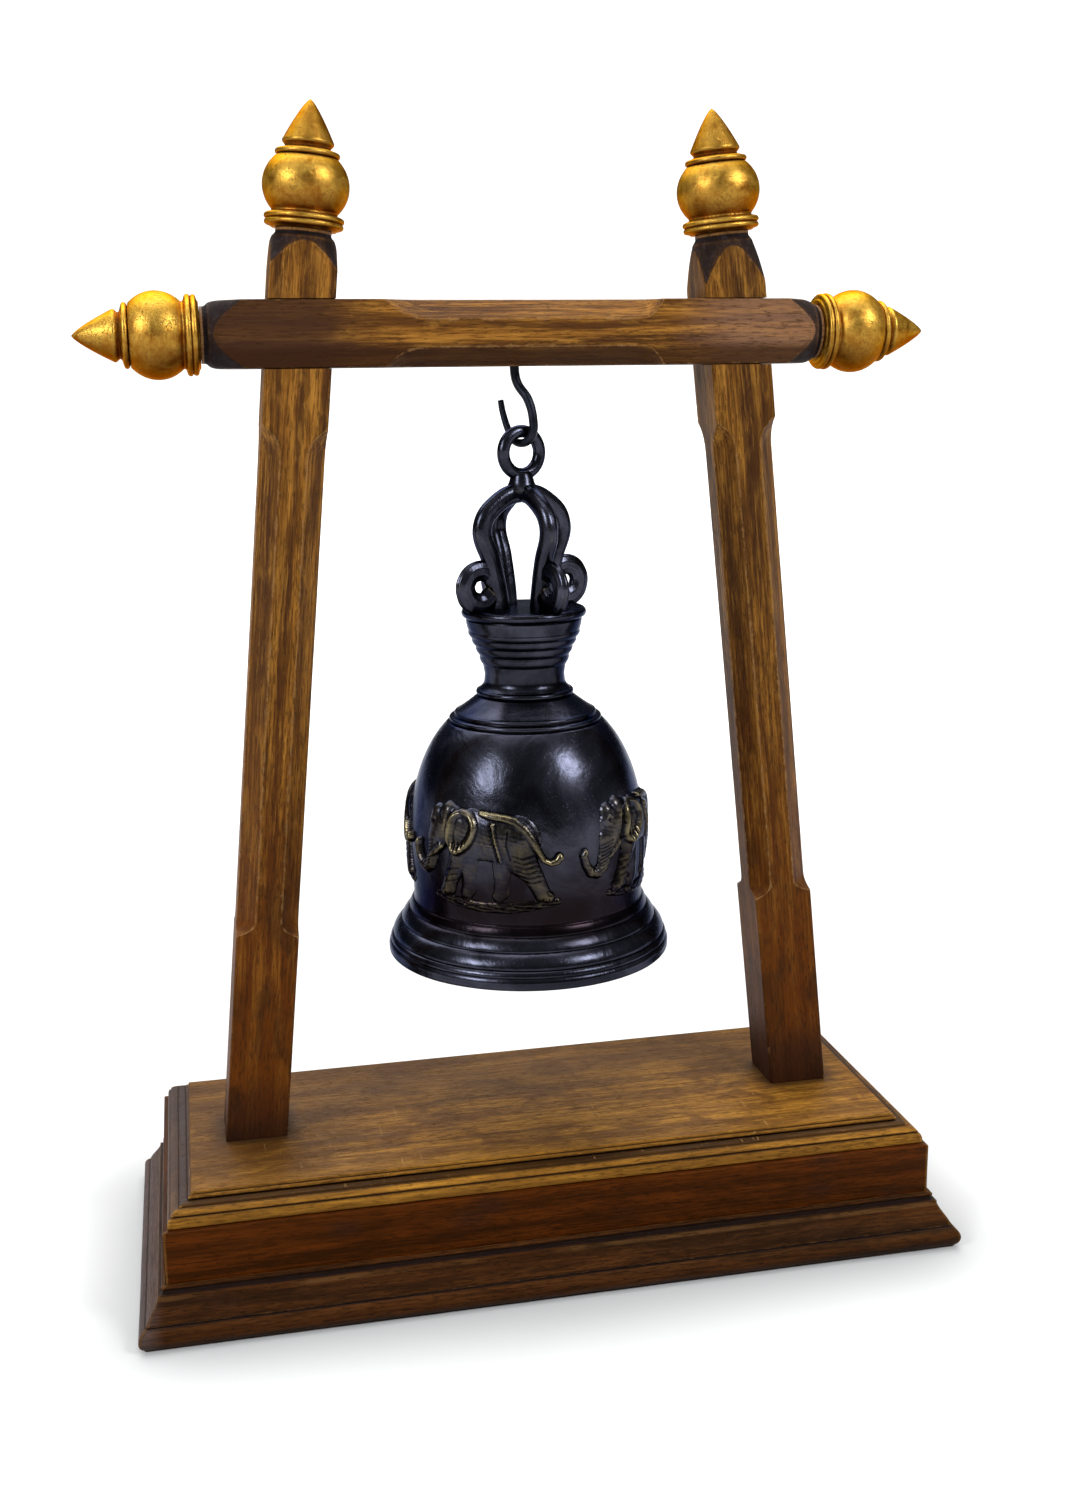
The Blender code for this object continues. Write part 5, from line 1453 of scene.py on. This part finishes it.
def make_crown(crown, top):
    """Four creased legs in two arches, their scrolls, the knuckle and the ring over them."""
    wires, turnings = wire_tree(), turning_tree()
    drop = 0.0233               # from the pivot down to the middle of the knuckle
    side = [(0.0135, top - 0.0030), (0.0139, top + 0.0043), (0.0178, top + 0.0225),
            (0.0225, top + 0.0395), (0.01395, (top + 0.0395 - drop) / 2 + 0.0032)]
    path = [Vector((-x, 0, z)) for x, z in side] + [Vector((0, 0, -drop))]
    path += [Vector((x, 0, z)) for x, z in reversed(side)]
    scroll = arc((0.0245, top + 0.0110), 0.0080, -150, 165, 7)
    meshes = []
    for quarter in range(4):
        turn = Matrix.Rotation(QUARTER * quarter, 4, "Z")
        if quarter < 2:
            arch = grow(wires, wire_mesh(path, 14), "dark bronze", sides=36,
                        half_width=crown.leg_width, half_depth=crown.leg_depth, creases=4,
                        crease=crown.crease, unevenness=0.00015)
            arch.transform(turn)
            meshes.append(arch)
        foot = wire_mesh([Vector((x, 0, z)) for x, z in scroll], 8, lambda t: 1.04 - 0.2 * t)
        foot = grow(wires, foot, "dark bronze", sides=40, half_width=crown.scroll_width,
                    half_depth=crown.scroll_depth, creases=10, crease=crown.crease, unevenness=0.00010)
        foot.transform(turn)
        meshes.append(foot)
    hole, wire = 0.00705, 0.00305
    ring_centre = HOOK_WIRE + GAP - hole
    ring = outline_mesh(arc((hole + wire, 0), wire, 0, 360, 28)[:-1], closed=True)
    ring = grow(turnings, ring, "dark bronze", facets=72)
    ring.transform(Matrix.Translation((0, 0, ring_centre)) @ Matrix.Rotation(QUARTER, 4, "X"))
    ring_foot = ring_centre - hole - wire
    knuckle = [(0, ring_foot + wire * 0.6)]
    knuckle += sweep((0.0036, ring_foot + wire * 0.55), (0.0062, ring_foot + wire * 0.1),
                     (0.0050, -drop + 0.0046), (0.0084, -drop + 0.0014), 12)
    knuckle += [(0.0072, -drop - 0.0004), (0.0036, -drop - 0.0012), (0, -drop - 0.0013)]
    knuckle = outline_mesh(refine(knuckle, 0.001))
    knuckle = grow(turnings, knuckle, "dark bronze", facets=40, unevenness=0.00015)
    meshes += [knuckle, ring]
    for mesh in meshes:
        mesh.transform(Matrix.Translation((0, 0, PIVOT)) @ Matrix.Rotation(crown.turn, 4, "Z"))
    settle("bell_crown", meshes, "bell", ["bell"], crease=45, reach=0.0003)


# ---------------------------------------------------------------- elephants
class Relief:
    """A height field that rounded forms are laid on, in millimetres. Bare ground is below 0."""

    SUNK = -0.5

    def __init__(self, low, high, step):
        across = np.arange(low[0], high[0] + step, step)
        up = np.arange(low[1], high[1] + step, step)
        self.u, self.v = np.meshgrid(across, up)
        self.height = np.full(self.u.shape, self.SUNK)

    def lay(self, height, soft):
        """Join a form to what is there, with a hollow of that softness between them."""
        gap = np.maximum(soft - np.abs(self.height - height), 0) / soft
        joined = np.maximum(self.height, height) + gap * gap * soft / 4
        joined = np.where(self.height > self.SUNK, joined, height)
        self.height = np.where(height > self.SUNK, joined, self.height)

    def run(self, start, end):
        """Each place's share of the way along a straight run, and its distance from it."""
        (u0, v0), (u1, v1) = start, end
        way = np.array([u1 - u0, v1 - v0])
        t = np.clip(((self.u - u0) * way[0] + (self.v - v0) * way[1]) / (way @ way), 0, 1)
        return t, np.hypot(self.u - u0 - t * way[0], self.v - v0 - t * way[1])

    def chain(self, joints):
        """How far each place is from a tapered limb through (u, v, radius) joints, in radii."""
        nearest = np.full(self.u.shape, 9.0)
        for (*start, r0), (*end, r1) in zip(joints, joints[1:]):
            t, away = self.run(start, end)
            nearest = np.minimum(nearest, away / (r0 + t * (r1 - r0)))
        return nearest

    def limb(self, joints, rise, soft=0.8, full=1.8, base=0.0):
        """A rounded limb. full is how square its shoulders are."""
        away = self.chain(joints)
        dome = base + rise * np.maximum(1 - np.minimum(away, 1) ** 2, 0) ** (1.2 / full)
        self.lay(np.where(away < 1, dome, self.SUNK), soft)

    def crease(self, joints, depth):
        """Press a soft groove, or raise a ridge with a negative depth, where there is a form."""
        pressed = self.height - depth * np.exp(-2.2 * self.chain(joints) ** 2)
        self.height = np.where(self.height > 0.05, pressed, self.height)

    def flap(self, corners, rise, rim, fold):
        """A thin flap with a thick rim, hollow inside, over what is there."""
        inside = np.zeros(self.u.shape, bool)
        away = np.full(self.u.shape, 99.0)
        for (u0, v0), (u1, v1) in zip(corners, corners[1:] + corners[:1]):
            crosses = (v0 > self.v) != (v1 > self.v)
            slope = (u1 - u0) / (v1 - v0 if v1 != v0 else 1e-9)
            inside ^= crosses & (self.u < slope * (self.v - v0) + u0)
            away = np.minimum(away, self.run((u0, v0), (u1, v1))[1])
        edge = np.clip(away / rim, 0, 1)
        plate = rise * np.sqrt(edge * (2 - edge))
        hollow = 0.90 * rise * np.clip((away - rim) / (1.3 * rim), 0, 1)
        pleats = fold * np.clip((away - 0.6) / 2, 0, 1) * np.clip((31 - self.v) / 5, 0, 1)
        plate = plate - hollow + pleats * np.sin(self.u * 2.7 + 0.25 * self.v)
        self.height = np.where(inside, np.maximum(self.height, 0.4) + plate, self.height)


def rounded(corners, steps=5):
    """The closed outline through the corners, without their sharpness."""
    smooth = []
    total = len(corners)
    for i in range(total):
        before, here, after, beyond = (np.array(corners[(i + k) % total]) for k in (-1, 0, 1, 2))
        for step in range(steps):
            t = step / steps
            point = 0.5 * (2 * here + (after - before) * t
                           + (2 * before - 5 * here + 4 * after - beyond) * t * t
                           + (3 * here - before - 3 * after + beyond) * t ** 3)
            smooth.append(tuple(point))
    return smooth


def model_elephant(step):
    """A walking elephant seen from its left side, its ground line at height 0.

    Joints are (across, up, radius) in millimetres, with the trunk towards negative across.
    """
    field = Relief((-47, -6.5), (39, 49), step)

    # far legs, body, near legs
    field.limb([(8.5, 22, 5.2), (8.5, 11, 4.0), (8.2, 5.4, 3.9), (6.6, 3.4, 3.4)], 1.25)
    field.limb([(-8, 24, 6.0), (-8.6, 13, 4.2), (-8.4, 6, 4.1), (-9.8, 3.4, 3.7)], 1.5)
    field.limb([(-7, 32.5, 12.2), (4, 31.6, 11.7), (16, 31.2, 11.4)], 2.35, full=2.2)
    field.limb([(15.4, 28.6, 10.0), (18.6, 20, 7.4), (23.2, 13.6, 5.0), (26.0, 8.0, 4.3), (27.6, 4.4, 4.2),
                (30.4, 2.9, 3.2)], 2.45, soft=0.9)
    field.limb([(-11.5, 27, 7.6), (-15.0, 17, 5.0), (-18.6, 9, 4.2), (-20.2, 4.6, 4.3), (-22.2, 2.9, 3.2)],
               2.35, soft=0.8)

    # head, brow, crown, trunk and tusk
    field.limb([(-19.5, 35.5, 9.8), (-24.0, 34.6, 9.0), (-27.2, 28, 6.4)], 2.8, soft=1.0, full=2.1)
    field.limb([(-27.8, 40.4, 4.2), (-28.6, 37, 3.8)], 2.7, soft=0.9)
    field.limb([(-21.0, 42.0, 4.6), (-20.0, 39, 4.2)], 2.9, soft=0.9)
    field.limb([(-28.2, 28, 5.6), (-30.2, 20, 4.3), (-32.4, 14.4, 3.6), (-35.6, 11.7, 3.1),
                (-39.2, 12.6, 2.7), (-41.8, 16.6, 2.3), (-43.3, 21.4, 2.1), (-42.6, 23.6, 1.6)],
               2.5, soft=0.8)
    field.limb([(-23.6, 25.2, 2.0), (-26.6, 22.0, 1.7), (-30.0, 19.4, 1.0)], 1.0, soft=0.3, base=2.0)

    # ear with the fold before it, eye and its lid
    ear = rounded([(-17.4, 41.4), (-12.2, 44.4), (-6.2, 42.8), (-2.9, 37.4), (-3.9, 31.4), (-7.2, 26.2),
                   (-12.4, 22.4), (-16.4, 23.4), (-19.4, 27.6), (-18.8, 35.4)])
    field.flap(ear, 1.9, 1.9, 0.42)
    field.crease([(-18.6, 41.8, 0.9), (-20.0, 34.5, 0.9), (-20.4, 28.0, 0.9)], 0.7)
    field.crease([(-28.9, 37.0, 0.9), (-27.7, 36.6, 0.9)], 0.7)
    field.crease([(-29.6, 38.2, 0.5), (-28.2, 38.9, 0.5), (-26.8, 38.0, 0.5)], -0.35)

    # rings of the trunk, down to its curl
    for i in range(9):
        v = 27.0 - 1.75 * i
        field.crease([(-33.4 - 0.25 * i, v - 1.6, 0.42), (-27.6 - 0.5 * i, v + 0.4, 0.42)], 0.32)
    for i in range(4):
        field.crease([(-38.0 - 1.3 * i, 9.4 + 2.4 * i, 0.4), (-38.6 - 0.7 * i, 15.2 + 1.4 * i, 0.4)], 0.26)

    # backbone and tail, girth strap with its knob, folds of belly and flank
    back = [(-1.6, 43.2, 1.2), (3.4, 42.0, 1.9), (9.5, 41.4, 1.9), (15.0, 39.8, 2.2), (19.4, 36.4, 2.3),
            (22.8, 31.6, 2.1), (25.6, 26.2, 1.7), (28.2, 21.6, 1.5), (31.4, 19.8, 1.5), (34.2, 20.6, 1.9),
            (35.6, 22.4, 2.1)]
    field.limb(back, 1.5, soft=0.7, full=1.5, base=1.6)
    field.crease([(4.6, 38.6, 1.0), (6.0, 31, 0.9), (8.4, 20.4, 0.8)], -0.75)
    field.crease([(2.9, 38.2, 0.6), (4.3, 31, 0.6), (6.6, 20.4, 0.6)], 0.55)
    field.crease([(4.0, 38.3, 2.0), (4.3, 38.0, 2.0)], -0.85)
    field.crease([(-4.0, 29.4, 0.5), (1.4, 28.4, 0.5), (6.6, 28.6, 0.5)], -0.30)
    field.crease([(11.6, 35.4, 0.9), (11.0, 29.0, 0.9), (12.8, 22.0, 0.9)], 0.55)

    # folds of the near legs, toes
    for i in range(6):
        v = 24.5 - 2.5 * i
        lean = 0.55 * i
        field.crease([(13.8 + lean, v - 0.4, 0.5), (18.6 + lean, v - 1.7, 0.5),
                      (24.0 + lean * 0.8, v - 0.2, 0.5)], 0.34)
    for i in range(3):
        v = 15.6 - 3.2 * i
        field.crease([(-21.8 + 0.2 * i, v - 1.2, 0.5), (-12.2 - 1.4 * i, v + 0.2, 0.5)], 0.30)
    for foot in (-24.0, -21.4, -18.8, 27.4, 30.2, 32.6):
        field.crease([(foot, 0.2, 0.45), (foot + 0.2, 2.6, 0.45)], 0.45)

    # ground and its clods, and a slight roughness all over
    ground = [(-27.5, 0.2, 1.9), (-16, -1.4, 2.7), (-3, -2.4, 2.9), (10, -2.4, 3.0), (22, -1.2, 2.7),
              (34.5, 0.2, 2.2)]
    field.limb(ground, 1.25, soft=0.8, full=1.5)
    for i in range(9):
        u, v = -24 + 6.4 * i, -1.4 - 1.1 * math.sin(0.4 * i) - 1.1 * (i % 2)
        field.crease([(u, v + 0.9, 0.6), (u + 4.0, v + 0.1, 0.8), (u + 8.5, v + 0.3, 0.5)], 0.55)
    rough = np.sin(wandering(field.u, 1.31) + wandering(field.v, 1.77))
    rough = 0.05 * (rough * np.sin(field.v * 1.13 - field.u * 0.71))
    field.height = np.where(field.height > 0.4, field.height + rough, field.height)
    return field


def wandering(values, pitch):
    """A phase that wanders, so that the surface isn't ruled."""
    return values * pitch + 0.9 * np.sin(values * 0.43)


def relief_mesh(field, scale, up):
    """A closed shell from the height field: its face, a back sunk in the barrel, and its sides.

    scale turns the field's heights into metres, and up lifts its ground line.
    """
    millimetre = 0.001
    rows, columns = field.height.shape
    number = np.arange(rows * columns).reshape(rows, columns)
    quads = (number[:-1, :-1], number[:-1, 1:], number[1:, 1:], number[1:, :-1])
    quads = np.stack(quads, -1).reshape(-1, 4)
    shown = field.height.reshape(-1)
    quads = quads[shown[quads].max(1) > field.SUNK + 0.01]
    used, packed = np.unique(quads, return_inverse=True)
    quads = packed.reshape(-1, 4)
    u, v = field.u.reshape(-1)[used], field.v.reshape(-1)[used]
    face = np.stack([u * millimetre, v * millimetre + up, shown[used] * scale], 1)
    back = face.copy()
    back[:, 2] = field.SUNK * scale - 0.0008
    sides = np.concatenate([quads, np.roll(quads, -1, 1)]).reshape(2, -1).T
    pairs = np.sort(sides, 1)
    _, inverse, repeats = np.unique(pairs, axis=0, return_inverse=True, return_counts=True)
    rim = sides[repeats[inverse.reshape(-1)] == 1]
    walls = np.stack([rim[:, 1], rim[:, 0], rim[:, 0] + len(used), rim[:, 1] + len(used)], 1)
    faces = np.concatenate([quads, quads[:, ::-1] + len(used), walls])
    mesh = bpy.data.meshes.new("relief")
    mesh.from_pydata(np.concatenate([face, back]).tolist(), [], faces.tolist())
    return mesh


class BELL_OT_bell(bpy.types.Operator):
    """Make the bell: its turned body, its crown, and the elephants that walk round it"""
    bl_idname = "sanctus_bell.bell"
    bl_label = "Bell"

    def execute(self, context):
        settings = context.scene.sanctus_bell
        body = make_body(settings.bell)
        make_crown(settings.crown, CROWN_PLATE - PIVOT)
        relief = settings.relief
        field = model_elephant(relief.grid * 1000)
        mesh = relief_mesh(field, relief.rise / field.height.max(), RIM + relief.ground)
        mesh = grow(frieze_tree(), mesh, "dark bronze", barrel=body, repeats=relief.elephants,
                    start=relief.start, radius=settings.bell.barrel)
        settle("elephant_frieze", [mesh], "bell", ["bell"], crease=70, reach=0.00018, rounds=5)
        return {"FINISHED"}


# ---------------------------------------------------------------- stage
def soft_light(name, power, width, height, stand, aim, tone=(1, 1, 1)):
    """A softbox of that width and height that stands at one place and points at another."""
    data = bpy.data.lights.new(name, "AREA")
    data.shape = "RECTANGLE"
    data.energy = power
    data.size, data.size_y = width, height
    data.color = tone
    light = put_in_scene(name, data)
    light.location = stand
    light.rotation_euler = (Vector(aim) - Vector(stand)).to_track_quat("-Z", "Y").to_euler()


def make_lights():
    """A broad sun overhead, a softbox at each side in front, and a faint one above."""
    data = bpy.data.lights.new("overhead", "SUN")
    data.energy = 4.4
    data.angle = math.radians(70)
    put_in_scene("overhead", data).rotation_euler = (math.radians(-28), math.radians(-4), 0)
    bell_height = (0, 0, 0.26)
    soft_light("left softbox", 26, 0.52, 0.64, (-1.40, -0.86, 1.20), bell_height, (0.95, 0.98, 1.0))
    soft_light("right softbox", 26, 0.48, 0.58, (1.06, -1.04, 1.36), bell_height, (0.96, 0.98, 1.0))
    soft_light("top softbox", 7, 1.6, 1.4, (0.0, 0.1, 1.7), (0, 0, 0.2))


def make_camera(stage):
    data = bpy.data.cameras.new("camera")
    data.sensor_width = 36
    data.lens = stage.lens
    data.clip_start = 0.01
    data.clip_end = 200
    camera = put_in_scene("camera", data)
    yaw, down, roll = stage.heading, stage.tilt, stage.roll
    forward = Vector((math.sin(yaw) * math.cos(down), math.cos(yaw) * math.cos(down), -math.sin(down)))
    right = Vector((math.cos(yaw), -math.sin(yaw), 0))
    up = right.cross(forward)
    across = math.cos(roll) * right + math.sin(roll) * up
    upward = -math.sin(roll) * right + math.cos(roll) * up
    axes = Matrix((across, upward, -forward)).transposed().to_4x4()
    camera.matrix_world = Matrix.Translation(stage.camera) @ axes
    bpy.context.scene.camera = camera


def make_floor(stage):
    """A pale table that glows a little, more so clear of the base and far off; the dimmer glow round the
    base is a painted shadow.
    """
    bm = bmesh.new()
    bmesh.ops.create_grid(bm, x_segments=1, y_segments=1, size=30)
    mesh = bpy.data.meshes.new("floor")
    bm.to_mesh(mesh)
    bm.free()
    mesh.transform(Matrix.Translation((0, 0, -GAP / 2)))
    _, shader, coordinates = new_finish("floor paint")
    body = blend(noise(coordinates, 3.0), shaded(stage.floor, 0.97), stage.floor)
    x, y, _ = separate(coordinates)
    away = (x ** 2.0 + y ** 2.0).math("SQRT").step(0.26, 1.7)
    half = CAD_BOX[1]
    past_x = (abs(x) - half.x + 0.03).at_least(0.0)
    past_y = (abs(y) - half.y + 0.03).at_least(0.0)
    clear = (past_x ** 2.0 + past_y ** 2.0).math("SQRT").step(0.022, 0.092)
    # painted shadow: less glow close round the base
    feed(shader.inputs["Emission Strength"], 0.01 + clear * 0.40 + away * 0.80)
    shade(shader, body, 0.8, bump(noise(coordinates, 300.0), 0.0001, 0.1),
          specular_ior_level=0.0, emission_color=(1.0, 1.0, 1.0, 1.0))
    mesh.materials.append(bpy.data.materials["floor paint"])
    floor = put_in_scene("floor", mesh)


def make_world():
    """White behind the scene, and a dimmer grey that lights it, paler overhead."""
    world = bpy.data.worlds.new("studio")
    bpy.context.scene.world = world
    world.use_nodes = True
    tree = world.node_tree
    background = tree.nodes["Background"]
    ray = add(tree, "ShaderNodeLightPath")
    z = separate(add(tree, "ShaderNodeTexCoord").outputs["Generated"])[2]
    background.inputs["Color"].default_value = (1, 1, 1, 1)
    light = 0.08 + z.step(-0.1, 0.9) * 0.30
    feed(background.inputs["Strength"], light + (1.30 - light) * Field(ray.outputs["Is Camera Ray"]))


class BELL_OT_stage(bpy.types.Operator):
    """Set up the camera, the pale floor and the soft studio lights"""
    bl_idname = "sanctus_bell.stage"
    bl_label = "Stage"

    def execute(self, context):
        stage = context.scene.sanctus_bell.stage
        make_camera(stage)
        make_floor(stage)
        make_world()
        make_lights()
        context.scene.view_settings.view_transform = "Standard"
        return {"FINISHED"}


class BELL_OT_finishes(bpy.types.Operator):
    """Mix the wood, gold leaf, bronze, iron and zinc finishes"""
    bl_idname = "sanctus_bell.finishes"
    bl_label = "Finishes"

    def execute(self, context):
        make_finishes(context.scene.sanctus_bell.finish)
        return {"FINISHED"}


class BELL_PT_panel(bpy.types.Panel):
    """Lists the bell stand's pieces and their sizes"""
    bl_idname = "BELL_PT_panel"
    bl_label = "Sanctus Bell"
    bl_space_type = "VIEW_3D"
    bl_region_type = "UI"
    bl_category = "Sanctus Bell"

    def draw(self, context):
        layout = self.layout
        settings = context.scene.sanctus_bell
        for maker in MAKERS:
            layout.operator(maker.bl_idname)
        for name in BellStandSettings.__annotations__:
            group = getattr(settings, name)
            box = layout.box()
            box.label(text=name.title())
            for size_name in type(group).__annotations__:
                box.prop(group, size_name)


MAKERS = (BELL_OT_stage, BELL_OT_finishes, BELL_OT_base, BELL_OT_sticks, BELL_OT_finials,
          BELL_OT_metalwork, BELL_OT_bell)
GROUPS = (BaseSettings, StickSettings, FinialSettings, BellSettings, CrownSettings, ReliefSettings,
          FinishSettings, StageSettings, BellStandSettings)


def register():
    for item in GROUPS + MAKERS + (BELL_PT_panel,):
        bpy.utils.register_class(item)
    bpy.types.Scene.sanctus_bell = PointerProperty(type=BellStandSettings)


def unregister():
    del bpy.types.Scene.sanctus_bell
    for item in reversed(GROUPS + MAKERS + (BELL_PT_panel,)):
        bpy.utils.unregister_class(item)


def corners(found):
    """A box as lists of plain numbers."""
    return [[float(number) for number in corner] for corner in found]


def main():
    register()
    bpy.ops.sanctus_bell.stage()
    bpy.ops.sanctus_bell.finishes()
    bpy.ops.sanctus_bell.base()
    bpy.ops.sanctus_bell.sticks()
    bpy.ops.sanctus_bell.finials()
    bpy.ops.sanctus_bell.metalwork()
    bpy.ops.sanctus_bell.bell()


if __name__ == "__main__":
    main()
